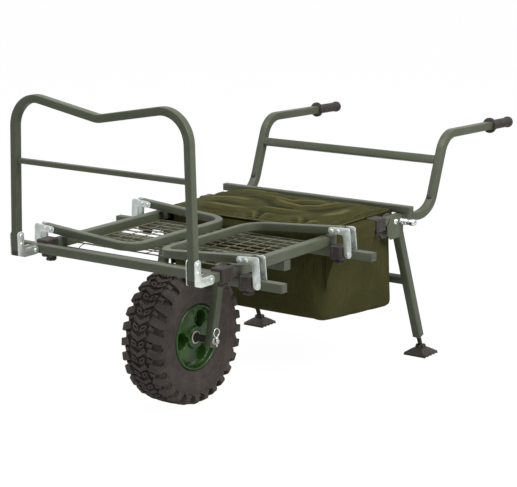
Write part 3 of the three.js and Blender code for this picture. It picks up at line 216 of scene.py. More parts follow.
def zinc_finish():
    """Bright zinc plate: mottled, with a faint blue and yellow cast and fine rolling marks."""
    finish = Finish("bracket_zinc", 0.34, metallic=0.82)
    mottled = finish.patches(120, 5, 0.35, 0.65, roughness=0.65)
    base = finish.blend(mottled, srgb(205, 215, 214), srgb(236, 241, 236))
    base = finish.blend(finish.patches(28, 2, 0.45, 0.7, 0, 0.35), base, srgb(214, 214, 190))
    gloss = finish.patches(240, 4, 0.3, 0.7, 0.26, 0.46)
    return finish.done(base, gloss, finish.noise(500, 3, 0.6, (1, 1, 0.12)), 0.0001, 0.3)


def steel_finish(name, dark, light, roughness):
    """Plated steel with fine scratches and small differences in gloss."""
    finish = Finish(name, roughness, metallic=1.0)
    base = finish.blend(finish.patches(260, 4, 0.35, 0.65), dark, light)
    gloss = finish.patches(420, 3, 0.3, 0.7, roughness * 0.7, roughness * 1.5)
    return finish.done(base, gloss, finish.noise(1300, 2), 0.00006, 0.3)


def wire_finish():
    """Coated wire with dust on it."""
    finish = Finish("deck_wire", 0.5, metallic=0.15, specular=0.45)
    dusty = finish.patches(70, 4, 0.42, 0.72, roughness=0.65)
    base = finish.blend(dusty, srgb(96, 95, 76), srgb(140, 137, 111))
    gloss = finish.patches(90, 2, 0.3, 0.7, 0.4, 0.62)
    return finish.done(base, gloss, finish.noise(1500, 2), 0.0001, 0.4)


def rubber_finish(name, dark, light):
    """Matt brown-black rubber: moulding skin, dust in patches and scuffed lug edges."""
    finish = Finish(name, 0.72, specular=0.32)
    base = finish.blend(finish.patches(26, 5, 0.35, 0.68, roughness=0.62), dark, light)
    specks = finish.patches(420, 3, 0.58, 0.75, 0, 0.45, roughness=0.7)
    base = finish.blend(specks, base, srgb(100, 92, 86))
    scuffed = finish.combine(finish.worn_edges(0.0016, 0.9, 0.99), 0.42)
    base = finish.blend(scuffed, base, srgb(112, 103, 98))
    gloss = finish.patches(60, 3, 0.3, 0.7, 0.6, 0.82)
    return finish.done(base, gloss, finish.noise(700, 4, 0.7), 0.0005, 0.55)


def rim_finish():
    """Glossy moulded green with flow marks and a lighter rubbed lip."""
    finish = Finish("rim_plastic", 0.3, specular=0.42)
    flow = finish.patches(24, 4, 0.35, 0.66, roughness=0.6)
    base = finish.blend(flow, srgb(34, 62, 20), srgb(50, 84, 32))
    pale = finish.combine(finish.worn_edges(0.0018, 0.9, 0.995), 0.5)
    base = finish.blend(pale, base, srgb(120, 160, 100))
    gloss = finish.patches(50, 2, 0.3, 0.7, 0.22, 0.4)
    return finish.done(base, gloss, finish.noise(600, 3), 0.0002, 0.35)


def plastic_finish(name, dark, light, roughness, grain):
    """Moulded plastic with a fine grain and handled edges."""
    finish = Finish(name, roughness, specular=0.42)
    base = finish.blend(finish.patches(48, 4, 0.35, 0.65), dark, light)
    pale = finish.combine(finish.worn_edges(0.0012, 0.92, 0.995), 0.35)
    base = finish.blend(pale, base, srgb(128, 120, 112))
    gloss = finish.patches(75, 3, 0.3, 0.7, roughness - 0.1, roughness + 0.12)
    return finish.done(base, gloss, finish.noise(grain, 3, 0.65), 0.00025, 0.5)


def cloth_finish(name, dark, light, tint, thread=0.0011, crest_highlight=None, valley_shade=None):
    """Coated woven cloth: crossed threads, slubs up the walls, faded patches, painted highlight on fold
    crests and painted shade in fold valleys.
    """
    finish = Finish(name, 0.9, specular=0.1)
    streaks = finish.levels(finish.noise(1, 4, 0.7, (520, 520, 26)), 0.36, 0.66)
    base = finish.blend(streaks, dark, light)
    base = finish.blend(finish.patches(7, 5, 0.42, 0.72, 0, 0.65, roughness=0.6), base, tint)
    # Painted light on the lid's folds: the crest colour is a painted highlight on fold crests, the valley
    # colour is painted shade in the folds.
    if crest_highlight:
        height = finish.tree.nodes.new("ShaderNodeAttribute")
        height.attribute_name = "fold_painted_light"
        base = finish.blend(finish.levels(height.outputs["Fac"], 0.56, 1, 0, 0.75), base, crest_highlight)
        base = finish.blend(finish.levels(height.outputs["Fac"], 0.47, 0.32, 0, 0.85), base, valley_shade)
    weave = finish.bands(thread, "X")
    for direction in ("Y", "Z"):
        weave = finish.combine(weave, finish.bands(thread, direction), "ADD")
    base = finish.blend(finish.levels(weave, 0.3, 2.2, 0.22, 0), base, srgb(30, 30, 16))
    uneven = finish.combine(finish.noise(1, 3, 0.6, (260, 260, 40)), 1.6)
    return finish.done(base, None, finish.combine(weave, uneven, "ADD"), 0.0003, 0.5)


PAINT = paint_finish()
ZINC = zinc_finish()
CHROME = steel_finish("pin_chrome", srgb(222, 224, 222), srgb(244, 244, 240), 0.16)
STEEL = steel_finish("axle_chrome", srgb(178, 178, 174), srgb(214, 214, 208), 0.24)
WIRE = wire_finish()
RUBBER = rubber_finish("tyre_rubber", srgb(56, 50, 46), srgb(76, 68, 63))
# Lighter rubber for the lugs: scuffed tops, and a painted highlight on the raised tread.
TREAD_SCUFF_AND_HIGHLIGHT = rubber_finish("tyre_tread_scuff_and_highlight", srgb(80, 72, 67), srgb(112, 103, 97))
# Near-black rubber for the tread floor between the lugs: painted shade in the grooves.
GROOVE_SHADE = rubber_finish("tyre_groove_shade", srgb(18, 15, 13), srgb(30, 25, 22))
RIM_GREEN = rim_finish()
NYLON = plastic_finish("bush_nylon", srgb(176, 172, 156), srgb(202, 198, 184), 0.5, 900)
BLACK = plastic_finish("black_plastic", srgb(42, 36, 33), srgb(62, 54, 49), 0.52, 1100)
CAP = plastic_finish("end_cap_plastic", srgb(74, 74, 63), srgb(96, 95, 83), 0.55, 1000)
CLOTH = cloth_finish("bag_fabric", srgb(54, 53, 27), srgb(72, 71, 39), srgb(80, 78, 46))
# The lid cloth gets a painted highlight colour for its fold crests and a painted shade colour for its fold
# valleys.
LID_CLOTH = cloth_finish("lid_fabric", srgb(56, 55, 28), srgb(80, 79, 45), srgb(90, 88, 54),
                         crest_highlight=srgb(122, 120, 78), valley_shade=srgb(44, 43, 22))
PIPING = cloth_finish("piping_fabric", srgb(78, 77, 47), srgb(112, 109, 74), srgb(120, 117, 84), 0.0007)


# Shapes

def point(x, y, z):
    return Vector((x, y, z))


def spaced(low, high, steps):
    """Evenly spaced values from low to high, both included."""
    return [low + (high - low) * i / steps for i in range(steps + 1)]


def across_line(half, y, z):
    """The two ends of a line that runs along X, evenly to both sides."""
    return [point(-half, y, z), point(half, y, z)]


def rectangle(reach_x, reach_y):
    return [(reach_x, reach_y), (-reach_x, reach_y), (-reach_x, -reach_y), (reach_x, -reach_y)]


def rounded_path(corners, radii, steps=14):
    """A path through points with its inner corners rounded to the given radii."""
    path = [corners[0]]
    for before, corner, after, radius in zip(corners, corners[1:], corners[2:], radii):
        back, ahead = (before - corner).normalized(), (after - corner).normalized()
        opening = back.angle(ahead)
        start = corner + back * (radius / math.tan(opening / 2))
        centre = corner + (back + ahead).normalized() * (radius / math.sin(opening / 2))
        axis = back.cross(ahead).normalized()
        for step in range(steps + 1):
            turn = Matrix.Rotation((opening - math.pi) * step / steps, 3, axis)
            path.append(centre + turn @ (start - centre))
    path.append(corners[-1])
    return path


def rounded_outline(corners, radii, steps=5):
    """A closed outline in two dimensions with every corner rounded."""
    count = len(corners)
    flat = [Vector((x, y, 0)) for x, y in corners]
    outline = []
    for i, radius in enumerate(radii):
        trio = [flat[i - 1], flat[i], flat[(i + 1) % count]]
        outline += [(p.x, p.y) for p in rounded_path(trio, [radius], steps)[1:-1]]
    return outline


def square_section(side, corner, steps=3):
    """A square outline with rounded corners."""
    return rounded_outline(rectangle(side / 2, side / 2), [corner] * 4, steps)


def circle(radius, sides):
    turn = 2 * math.pi / sides
    return [(radius * math.cos(i * turn), radius * math.sin(i * turn)) for i in range(sides)]


def placed(outline, centre, first, second):
    """An outline's points in space, about a centre."""
    return [centre + first * u + second * v for u, v in outline]


SHARP_ANGLE = math.radians(50)


class Shape:
    """Closed surfaces, in millimetres, that together make one piece."""

    def __init__(self):
        self.bm = bmesh.new()

    def add(self, points, faces):
        verts = [self.bm.verts.new(p) for p in points]
        return [self.bm.faces.new([verts[i] for i in face]) for face in faces]

    def loft(self, loops, ring=False):
        """A skin over loops with the same number of points, with flat ends unless it is a ring."""
        size = len(loops[0])
        last = len(loops) if ring else len(loops) - 1
        faces = []
        for row in range(last):
            low, high = row * size, ((row + 1) % len(loops)) * size
            for i in range(size):
                k = (i + 1) % size
                faces.append((low + i, low + k, high + k, high + i))
        if not ring:
            faces.append(tuple(reversed(range(size))))
            faces.append(tuple(range((len(loops) - 1) * size, len(loops) * size)))
        return self.add([p for loop in loops for p in loop], faces)

    def sweep(self, path, outline, across):
        """An outline carried along a path, with one side of it kept along across."""
        loops = []
        for i, centre in enumerate(path):
            spans = []
            if i:
                spans.append((centre - path[i - 1]).normalized())
            if i < len(path) - 1:
                spans.append((path[i + 1] - centre).normalized())
            along = sum(spans, Vector()).normalized()
            level = (across - along * along.dot(across)).normalized()
            loops.append(placed(outline, centre, level, along.cross(level)))
        self.loft(loops)
        return self

    def tube(self, path, side, across, corner=CORNER_R):
        return self.sweep(path, square_section(side, corner), across)

    def bar(self, path, radius, sides):
        along = (path[1] - path[0]).normalized()
        across = X_AXIS if abs(along.x) < 0.9 else Y_AXIS
        return self.sweep(path, circle(radius, sides), across)

    def hoop(self, centre, first, second, reach, radius, turns, sides):
        """A ring of round wire."""
        normal = first.cross(second)
        loops = []
        for u, v in circle(1, turns):
            out = first * u + second * v
            loops.append(placed(circle(radius, sides), centre + out * reach, out, normal))
        self.loft(loops, ring=True)
        return self

    def turned(self, outline, start, axis, sides=40):
        """A body of revolution. The outline is a list of (radius, distance along the axis)."""
        level = axis.orthogonal().normalized()
        second = axis.cross(level)
        loops = [placed(circle(radius, sides), start + axis * reach, level, second)
                 for radius, reach in outline]
        self.loft(loops)
        return self

    def block(self, low, high, soft):
        """A box with rounded edges."""
        xs, ys, zs = zip(low, high)
        points = [Vector((x, y, z)) for z in zs for x, y in
                  ((xs[0], ys[0]), (xs[1], ys[0]), (xs[1], ys[1]), (xs[0], ys[1]))]
        faces = self.add(points, [(3, 2, 1, 0), (4, 5, 6, 7), (0, 1, 5, 4), (1, 2, 6, 5),
                                  (2, 3, 7, 6), (3, 0, 4, 7)])
        return self.soften(faces, soft)

    def plate(self, outline, centre, first, second, thickness, soft):
        """A flat plate about a centre, with its thickness shared to both sides."""
        normal = first.cross(second)
        loops = [placed(outline, centre + normal * (thickness * share), first, second)
                 for share in (-0.5, 0.5)]
        return self.soften(self.loft(loops), soft)

    def soften(self, faces, width):
        """Rounds the sharp edges of some faces."""
        bmesh.ops.recalc_face_normals(self.bm, faces=faces)
        edges = {edge for face in faces for edge in face.edges if edge.calc_face_angle(0) > SHARP_ANGLE}
        bmesh.ops.bevel(self.bm, geom=list(edges), offset=width, segments=2, profile=0.5, affect="EDGES",
                        clamp_overlap=True)
        return self

    def end_plug(self, side, end_x, depth, y, z, half, soft):
        """A square plug in the end of a tube that points sideways."""
        low, high = sorted((side * (end_x - depth), side * end_x))
        return self.block((low, y - half, z - half), (high, y + half, z + half), soft)

    def turn(self, matrix):
        bmesh.ops.transform(self.bm, matrix=matrix, verts=self.bm.verts)
        return self

    def piece(self, name, body, slot, material, nodes=(), smooth=40):
        """The finished object, on its body, standing for its CAD nodes."""
        bmesh.ops.recalc_face_normals(self.bm, faces=self.bm.faces)
        mesh = bpy.data.meshes.new(name)
        self.bm.to_mesh(mesh)
        self.bm.free()
        mesh.transform(Matrix.Scale(MM, 4) @ Matrix.Translation((0, -ORIGIN_Y, 0)))
        return dress(new_object(name, mesh), body, material, nodes, smooth)


def new_object(name, mesh):
    made = bpy.data.objects.new(name, mesh)
    bpy.context.scene.collection.objects.link(made)
    return made


def dress(piece, body, material, nodes=(), smooth=40):
    """Shades a piece, gives it its finish and puts it on its body."""
    piece.data.materials.clear()
    piece.data.materials.append(material)
    piece.data.shade_smooth()
    piece.data.set_sharp_from_angle(angle=math.radians(smooth))
    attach(piece, body)
    if nodes:
        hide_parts(*nodes)
    return piece


def paint_piece(shape, name, body, nodes=()):
    shape.piece(name, body, "frame_paint", PAINT, nodes)


# Deck frame

def level_tube(y, half, z, side):
    return Shape().tube(across_line(half, y, z), side, Y_AXIS)


for name, side in SIDES:
    path = [point(side * RAIL_X, y, RAIL_Z) for y in (RAIL_FRONT_Y, RAIL_REAR_Y)]
    paint_piece(Shape().tube(path, RAIL_SIDE, X_AXIS), f"rail_{name}_tube", "chassis", [f"rail_{name}"])
for name, y in SLEEVES:
    shape = level_tube(y, SLEEVE_HALF, SLEEVE_Z, RAIL_SIDE)
    paint_piece(shape, f"sleeve_{name}_tube", "chassis", [f"sleeve_{name}"])
shape = level_tube(FORK_TUBE_Y, FORK_HALF, SLEEVE_Z, RAIL_SIDE)
paint_piece(shape, "fork_tube_bar", "chassis", ["fork_tube"])

STRUT_WELD = 5
STRUT_BELOW_AXLE = 17
for name, side in SIDES:
    hub = point(side * STRUT_X, WHEEL_Y, WHEEL_Z)
    top = point(side * STRUT_X, STRUT_TOP_Y, SLEEVE_Z - RAIL_SIDE / 2)
    along = (top - hub).normalized()
    path = [top + along * STRUT_WELD, hub - along * STRUT_BELOW_AXLE]
    shape = Shape().tube(path, TUBE_SIDE, X_AXIS)
    paint_piece(shape, f"strut_{name}_tube", "chassis", [f"strut_{name}"])

# Wire deck: two layers of crossed wires inside a border wire
DECK_HALF = 267.2
DECK_FRONT_Y = -118
DECK_REAR_Y = 214
DECK_LOW = 397.5
DECK_TOP = 401.5
WIRE_R = 1.2
CROSS_WIRE_R = 1.7
BORDER_R = 1.9
WIRES_ALONG = 13
WIRES_ACROSS = 12

shape = Shape()
wire_xs = spaced(BORDER_R - DECK_HALF, DECK_HALF - BORDER_R, WIRES_ALONG - 1)
wire_ys = spaced(DECK_FRONT_Y + BORDER_R, DECK_REAR_Y - BORDER_R, WIRES_ACROSS - 1)
for x in wire_xs:
    radius = BORDER_R if x in (wire_xs[0], wire_xs[-1]) else WIRE_R
    shape.bar([point(x, y, DECK_LOW + radius) for y in (DECK_FRONT_Y, DECK_REAR_Y)], radius, 8)
for y in wire_ys:
    radius = BORDER_R if y in (wire_ys[0], wire_ys[-1]) else CROSS_WIRE_R
    shape.bar(across_line(DECK_HALF, y, DECK_TOP - radius), radius, 8)
shape.piece("deck_wires", "chassis", "deck_wire", WIRE, ["deck_mesh"])

# A thin black wire bowed from the front sleeve to the deck's border
BOW_R = 1.1
BOW = [(-227, -158, 397.6), (-228, -150, 402), (-227, -140, 404.6), (-225, -128, 404.4), (-222, -119, 401.6),
       (-221, -115, 399.4)]
shape = Shape().bar(rounded_path([Vector(p) for p in BOW], [4, 8, 8, 4], 6), BOW_R, 10)
shape.piece("deck_front_wire", "chassis", "black_plastic", BLACK)


# Wheel

TYRE_SECTION = [(0, 168), (14, 167.8), (30, 166.4), (41, 163.4), (49, 157.6), (54.6, 149.6), (57.6, 139),
                (58.5, 129), (57.2, 115), (54.4, 101), (51.6, 92), (49.4, 87.4), (45.6, 85.6), (42, 86.8)]
TYRE_INSIDE = [(44, 100), (50, 128), (46, 148), (30, 158), (0, 160)]
SECTION_TURNS = 162
TREAD_R = 168
TREAD_EDGE_R = 151
WHEEL_CENTRE = point(0, WHEEL_Y, WHEEL_Z)


def spun(section, turns):
    """Loops round the axle for a closed section of (x, radius)."""
    loops = []
    for i in range(turns):
        angle = 2 * math.pi * i / turns
        out = point(0, math.sin(angle), math.cos(angle))
        loops.append([WHEEL_CENTRE + X_AXIS * x + out * radius for x, radius in section])
    return loops


SMOOTH_STEPS = 4


def smoothed(section):
    """A closed section with points added on a smooth curve."""
    count = len(section)
    made = []
    for i in range(count):
        p = [Vector(section[(i + k) % count]) for k in (-1, 0, 1, 2)]
        for step in range(SMOOTH_STEPS):
            t = step / SMOOTH_STEPS
            made.append(tuple(0.5 * (2 * p[1] + (p[2] - p[0]) * t
                                     + (2 * p[0] - 5 * p[1] + 4 * p[2] - p[3]) * t * t
                                     + (3 * p[1] - p[0] - 3 * p[2] + p[3]) * t ** 3)))
    return made


def mirrored_section():
    right = TYRE_SECTION[1:] + TYRE_INSIDE
    left = [(-x, radius) for x, radius in reversed(right[:-1])]
    return [TYRE_SECTION[0]] + right + left


# How far each point of the section lies from the middle of the tread, over the shoulder
TREAD_REACH = [0.0]
for (x0, r0), (x1, r1) in zip(TYRE_SECTION, TYRE_SECTION[1:]):
    TREAD_REACH.append(TREAD_REACH[-1] + math.hypot(x1 - x0, r1 - r0))


def tread_spot(across, around, height):
    """A place on the tyre: across the tread and down the shoulder, round it in millimetres, and up."""
    reach = abs(across)
    i = max(k for k in range(len(TREAD_REACH) - 1) if TREAD_REACH[k] <= reach)
    share = (reach - TREAD_REACH[i]) / (TREAD_REACH[i + 1] - TREAD_REACH[i])
    here, ahead = Vector(TYRE_SECTION[i]), Vector(TYRE_SECTION[i + 1])
    before = Vector(TYRE_SECTION[max(i - 1, 0)])
    after = Vector(TYRE_SECTION[min(i + 2, len(TYRE_SECTION) - 1)])
    slope = (ahead - before).lerp(after - here, share).normalized()
    x, radius = here.lerp(ahead, share) + Vector((-slope.y, slope.x)) * height
    angle = around / TREAD_R
    sign = 1 if across >= 0 else -1
    return point(sign * x, WHEEL_Y + radius * math.sin(angle), WHEEL_Z + radius * math.cos(angle))


LUG_ROOT = -1.5
LUG_DRAFT = 1.1
LUG_STEP = 5
LUG_EDGE = 0.8


def lug(shape, line, width):
    """A raised bar of rubber along a line of (across, around, height), with sloping sides."""
    stations = [Vector(line[0])]
    for start, end in zip(line, line[1:]):
        span = Vector(end) - Vector(start)
        steps = max(1, math.ceil(span.length / LUG_STEP))
        stations += [Vector(start) + span * k / steps for k in range(1, steps + 1)]
    heights = [station.z for station in stations]
    points = [station.xy for station in stations]
    loops = []
    for i, (spot, height) in enumerate(zip(points, heights)):
        ahead = points[min(i + 1, len(points) - 1)] - spot
        back = spot - points[max(i - 1, 0)]
        along = (ahead.normalized() + back.normalized()).normalized()
        normal = Vector((-along.y, along.x))
        span = (ahead or back).normalized()
        mitre = 1 / max(0.5, abs(normal.dot(Vector((-span.y, span.x)))))
        end = i in (0, len(points) - 1)
        pull = along * (LUG_DRAFT if i == 0 else -LUG_DRAFT if end else 0)
        flank = [(LUG_ROOT, 0, LUG_DRAFT), (height - LUG_EDGE, 0.6, 0), (height, 1, -LUG_EDGE)]
        rows = [(-1, *row) for row in flank] + [(1, *row) for row in reversed(flank)]
        loop = []
        for flank_side, up, draw, spread in rows:
            half = (width / 2 + spread) * mitre * flank_side
            spread_spot = spot + normal * half + pull * draw
            loop.append(tread_spot(spread_spot.x, spread_spot.y, up))
        loops.append(loop)
    # Lug faces take the lighter tread rubber: scuff, and painted highlight.
    for face in shape.loft(loops):
        face.material_index = 1


CHEVRON_WIDTH = 8.5
BLOCK_WIDTH = 3.4
SHOULDER_WIDTH = 19
CHEVRON = ((-24, 13, LUG_HEIGHT), (0, -2, LUG_HEIGHT), (24, 13, LUG_HEIGHT))
BLOCK = ((5, 18), (19, 26), (18, 33.5), (5, 26.5), (5, 18))
SHOULDER = ((29, 11, 8.4), (38, 7, 9.6), (46, 4, 12.4), (53, 2, 13.6), (57, 1, 12), (64, 0, 3))
FILLER = ((28, 30, 7.4), (37, 26, 8.4), (41, 25, 7))
WALL_LINES = ((57.2, 116, 0.7), (53.6, 98, 0.9), (51.6, 92, 0.7))


def tyre():
    """The tyre's body, and one set of lugs for each pitch of its tread."""
    shape = Shape()
    # Body faces out on the tread band, between the lugs, take the near-black groove rubber as painted shade.
    for face in shape.loft(spun(smoothed(mirrored_section()), SECTION_TURNS), ring=True):
        middle = face.calc_center_median() - WHEEL_CENTRE
        if math.hypot(middle.y, middle.z) > TREAD_EDGE_R:
            face.material_index = 2
    pitch = 2 * math.pi * TREAD_R / TREAD_PITCHES
    for i in range(TREAD_PITCHES):
        base = i * pitch
        lug(shape, [(across, base + around, up) for across, around, up in CHEVRON], CHEVRON_WIDTH)
        for side in (1, -1):
            # A block with a sunk middle beside the chevron, and a high square lug over the shoulder
            corners = [(side * across, base + around, LUG_HEIGHT) for across, around in BLOCK]
            for start, end in zip(corners, corners[1:]):
                lug(shape, [start, end], BLOCK_WIDTH)
            slide = base + (0.5 * pitch if side < 0 else 0)
            for line, width in ((SHOULDER, SHOULDER_WIDTH), (FILLER, CHEVRON_WIDTH)):
                lug(shape, [(side * across, slide + around, up) for across, around, up in line], width)
    for side in (1, -1):
        for x, reach, radius in WALL_LINES:
            shape.hoop(WHEEL_CENTRE + X_AXIS * (side * x), Y_AXIS, Z_AXIS, reach, radius, 120, 8)
    made = shape.piece("tyre_rubber_body", "wheel", "tyre_rubber", RUBBER, ["tyre"], 35)
    # Second and third finishes: lighter lug rubber for scuff and painted highlight, and the groove rubber as
    # painted shade.
    for finish in (TREAD_SCUFF_AND_HIGHLIGHT, GROOVE_SHADE):
        made.data.materials.append(finish)


tyre()

# Rim: both faces are dished, with three round pockets, three curved ridges and a rolled lip
RIM_BORE_R = 17.4
RIM_FACE = 38
RIM_EDGE = 85
RIM_HALF = 51
HUB_R = 27
POCKET_RING = 51
POCKET_R = 21
POCKET_DEPTH = 24
POCKET_ANGLES = [math.radians(a) for a in (180, 60, -60)]
RIDGE_RING = 46
RIDGE_R = 33
RIDGE_RISE = 3.2
RIM_ROWS = 56
RIM_TURNS = 144


def ramp(value, low, high):
    share = min(1, max(0, (value - low) / (high - low)))
    return share * share * (3 - 2 * share)


def rim_depth(radius, angle):
    """How far the rim's face stands from the wheel's middle."""
    depth = RIM_FACE + (HUB_HALF - RIM_FACE) * ramp(radius, HUB_R + 4, HUB_R)
    depth += (RIM_HALF - RIM_FACE) * ramp(radius, 73.5, 79.5)
    depth -= 3.5 * ramp(radius, 81.5, RIM_EDGE) ** 2
    y, z = radius * math.cos(angle), radius * math.sin(angle)
    for spot in POCKET_ANGLES:
        away = math.hypot(y - POCKET_RING * math.cos(spot), z - POCKET_RING * math.sin(spot))
        depth -= POCKET_DEPTH * ramp(away, POCKET_R + 0.8, POCKET_R - 3.2)
        depth += 1.6 * ramp(abs(away - POCKET_R - 2.4), 2.2, 0.6)
        facing = spot + math.pi
        off = math.hypot(y - RIDGE_RING * math.cos(facing), z - RIDGE_RING * math.sin(facing))
        inside = ramp(radius, HUB_R + 1, HUB_R + 6) * ramp(radius, 78, 72)
        inside *= ramp(away, POCKET_R + 2, POCKET_R + 6)
        depth += RIDGE_RISE * ramp(abs(off - RIDGE_R), 2.6, 0.5) * inside
    return depth


def rim():
    shape = Shape()
    radii = spaced(RIM_BORE_R, RIM_EDGE, RIM_ROWS)
    loops = []
    for turn in range(RIM_TURNS):
        angle = 2 * math.pi * turn / RIM_TURNS
        out = point(0, math.cos(angle), math.sin(angle))
        near = [WHEEL_CENTRE + out * r + X_AXIS * rim_depth(r, angle) for r in radii]
        far = [WHEEL_CENTRE + out * r - X_AXIS * rim_depth(r, angle) for r in reversed(radii)]
        loops.append(near + far)
    shape.loft(loops, ring=True)
    shape.piece("rim_moulding", "wheel", "rim_plastic", RIM_GREEN, ["wheel_rim"], 50)


rim()

# The bearing's pale outer ring and dark inner part, and the valve
BEARING_DARK_R = 13.2
BEARING_ROWS = [(15.4, 34), (17, 34.4), (17, 45.4), (16.4, 46), (13.4, 46), (12.8, 45.2), (12.6, 43.6),
                (9.8, 43.6), (9.6, 45), (9.2, 45.6), (6.4, 45.6), (6.3, 34)]
VALVE_ANGLE = math.radians(-118)
VALVE_ROWS = [(4.6, 0), (4.6, 3), (3.4, 5), (2.6, 11), (3.1, 11.5), (3.1, 15), (2.6, 16)]

shape = Shape()
for side in (1, -1):
    loops = [placed(circle(radius, 56), WHEEL_CENTRE + X_AXIS * (side * x), Y_AXIS, Z_AXIS)
             for radius, x in BEARING_ROWS]
    shape.loft(loops, ring=True)
bearing = shape.piece("bearing_rings", "wheel", "bush_nylon", NYLON, ["wheel_bearing"])
bearing.data.materials.append(BLACK)
for face in bearing.data.polygons:
    off_y, off_z = face.center.y + (ORIGIN_Y - WHEEL_Y) * MM, face.center.z - WHEEL_Z * MM
    if math.hypot(off_y, off_z) < BEARING_DARK_R * MM:
        face.material_index = 1

valve_out = point(0, math.cos(VALVE_ANGLE), math.sin(VALVE_ANGLE))
valve_along = (X_AXIS * 0.86 - valve_out * 0.5).normalized()
shape = Shape().turned(VALVE_ROWS, WHEEL_CENTRE + valve_out * 72 + X_AXIS * 37, valve_along, 20)
shape.piece("valve", "wheel", "black_plastic", BLACK)

# Axle, spacers and washers
shape = Shape()
shape.turned([(5.2, -AXLE_END), (AXLE_R, -AXLE_END + 0.9), (AXLE_R, AXLE_END - 0.9), (5.2, AXLE_END)],
             WHEEL_CENTRE, X_AXIS)
shape.piece("axle_rod", "chassis", "axle_chrome", STEEL, ["axle"])
SPACER_ROWS = [(7.6, HUB_HALF + 0.4), (9, HUB_HALF + 1.6), (9, STRUT_INNER - 1.2), (7.6, STRUT_INNER)]
SPACER_FLANGE = [(9.9, STRUT_INNER - 3), (10.4, STRUT_INNER - 2.5), (10.4, STRUT_INNER - 0.3),
                 (9.9, STRUT_INNER)]
WASHER_ROWS = [(9.2, STRUT_OUTER), (10, STRUT_OUTER + 0.5), (10, STRUT_OUTER + 2), (9.2, STRUT_OUTER + 2.5)]
PIN_ROWS = [(0.8, -15), (2, -13.4), (2, 6.3), (3.9, 6.4), (4.5, 7), (4.5, 10.6), (3.6, 11.3)]
PIN_RING_UP = 22.3
PIN_RING_R = 11
PIN_WIRE_R = 1.5
for name, side in SIDES:
    out = X_AXIS * side
    shape = Shape().turned(SPACER_ROWS, WHEEL_CENTRE, out).turned(SPACER_FLANGE, WHEEL_CENTRE, out)
    shape.piece(f"axle_spacer_{name}", "chassis", "black_plastic", BLACK)
    shape = Shape().turned(WASHER_ROWS, WHEEL_CENTRE, out)
    shape.piece(f"axle_washer_{name}", "chassis", "axle_chrome", STEEL)

for name, side in SIDES:
    foot = point(side * LINCH_X, WHEEL_Y, WHEEL_Z)
    shape = Shape().turned(PIN_ROWS, foot, Z_AXIS, 24)
    shape.hoop(foot + Z_AXIS * PIN_RING_UP, Y_AXIS, Z_AXIS, PIN_RING_R, PIN_WIRE_R, 48, 12)
    shape.piece(f"linch_pin_{name}_steel", f"linch_pin_{name}", "pin_chrome", CHROME, [f"linch_pin_{name}"])


# Front arms, front hoop and its brackets

FRONT_PIVOT_Y = -272
HOOP_Y = -322
HOOP_LEAN = 7
HOOP_BEND_Z = 466
HOOP_FOOT_Z = 418
HOOP_PLUG_BOTTOM_Z = 405
HOOP_BAR_Z = 644
HOOP_TOP_X = 270
HOOP_TOP_Z = 814
HOOP_DIP_Z = 767
ARM_ENDS_Y = (-309, 0)
ARM_TIE_Y = -249.5
ARM_TIE_HALF = 270

shape = Shape()
for _, side in SIDES:
    shape.tube([point(side * RAIL_X, y, RAIL_Z) for y in ARM_ENDS_Y], TUBE_SIDE, X_AXIS)
shape.tube(across_line(ARM_TIE_HALF, ARM_TIE_Y, RAIL_Z), TUBE_SIDE, Y_AXIS)
paint_piece(shape, "front_arm_tubes", "front_slide", ["front_arms"])

lean_y = HOOP_Y + HOOP_LEAN
corners = [point(-RAIL_X, HOOP_Y, HOOP_FOOT_Z), point(-RAIL_X, HOOP_Y, HOOP_BEND_Z),
           point(-HOOP_TOP_X, lean_y, HOOP_TOP_Z), point(0, lean_y, HOOP_DIP_Z),
           point(HOOP_TOP_X, lean_y, HOOP_TOP_Z), point(RAIL_X, HOOP_Y, HOOP_BEND_Z),
           point(RAIL_X, HOOP_Y, HOOP_FOOT_Z)]
shape = Shape().tube(rounded_path(corners, [60, 74, 60, 74, 60]), SLIM_SIDE, Y_AXIS, SLIM_CORNER_R)
paint_piece(shape, "front_hoop_tube", "front_hoop", ["front_hoop"])
bar_share = (HOOP_BAR_Z - HOOP_BEND_Z) / (HOOP_TOP_Z - HOOP_BEND_Z)
bar_half = RAIL_X - (RAIL_X - HOOP_TOP_X) * bar_share - SLIM_SIDE / 2
bar_path = across_line(bar_half, HOOP_Y + HOOP_LEAN * bar_share, HOOP_BAR_Z)
shape = Shape().tube(bar_path, BAR_SIDE, Y_AXIS, 1.8)
paint_piece(shape, "front_crossbar_tube", "front_hoop", ["front_crossbar"])

PLATE = 2.5
PLATE_MIDDLE = TUBE_SIDE / 2 + SEAT_GAP + PLATE / 2
PLATE_FACE = TUBE_SIDE / 2 + SEAT_GAP + PLATE
RIVET = [(4.9, -0.4), (5, 0.5), (4.3, 1.3), (2.9, 1.85), (1.2, 2.1)]
BOLT = [(5.4, -0.4), (5.4, 0.9), (5, 1.2), (4.6, 1.3), (3.9, 1.9), (1.4, 2.1)]


def bracket(outline, bolts, origin, first, second):
    """Two plates on both faces of a tube, with a domed head at each rivet and bolt."""
    shape = Shape()
    normal = first.cross(second)
    for face in (-1, 1):
        shape.plate(outline, origin + normal * (face * PLATE_MIDDLE), first, second, PLATE, 0.6)
        for (u, v), profile in bolts:
            spot = origin + first * u + second * v + normal * (face * PLATE_FACE)
            shape.turned(profile, spot, normal * face, 20)
    for (u, v), _ in bolts:
        spot = origin + first * u + second * v
        shape.bar([spot - normal * PLATE_FACE, spot + normal * PLATE_FACE], 2.6, 12)
    return shape


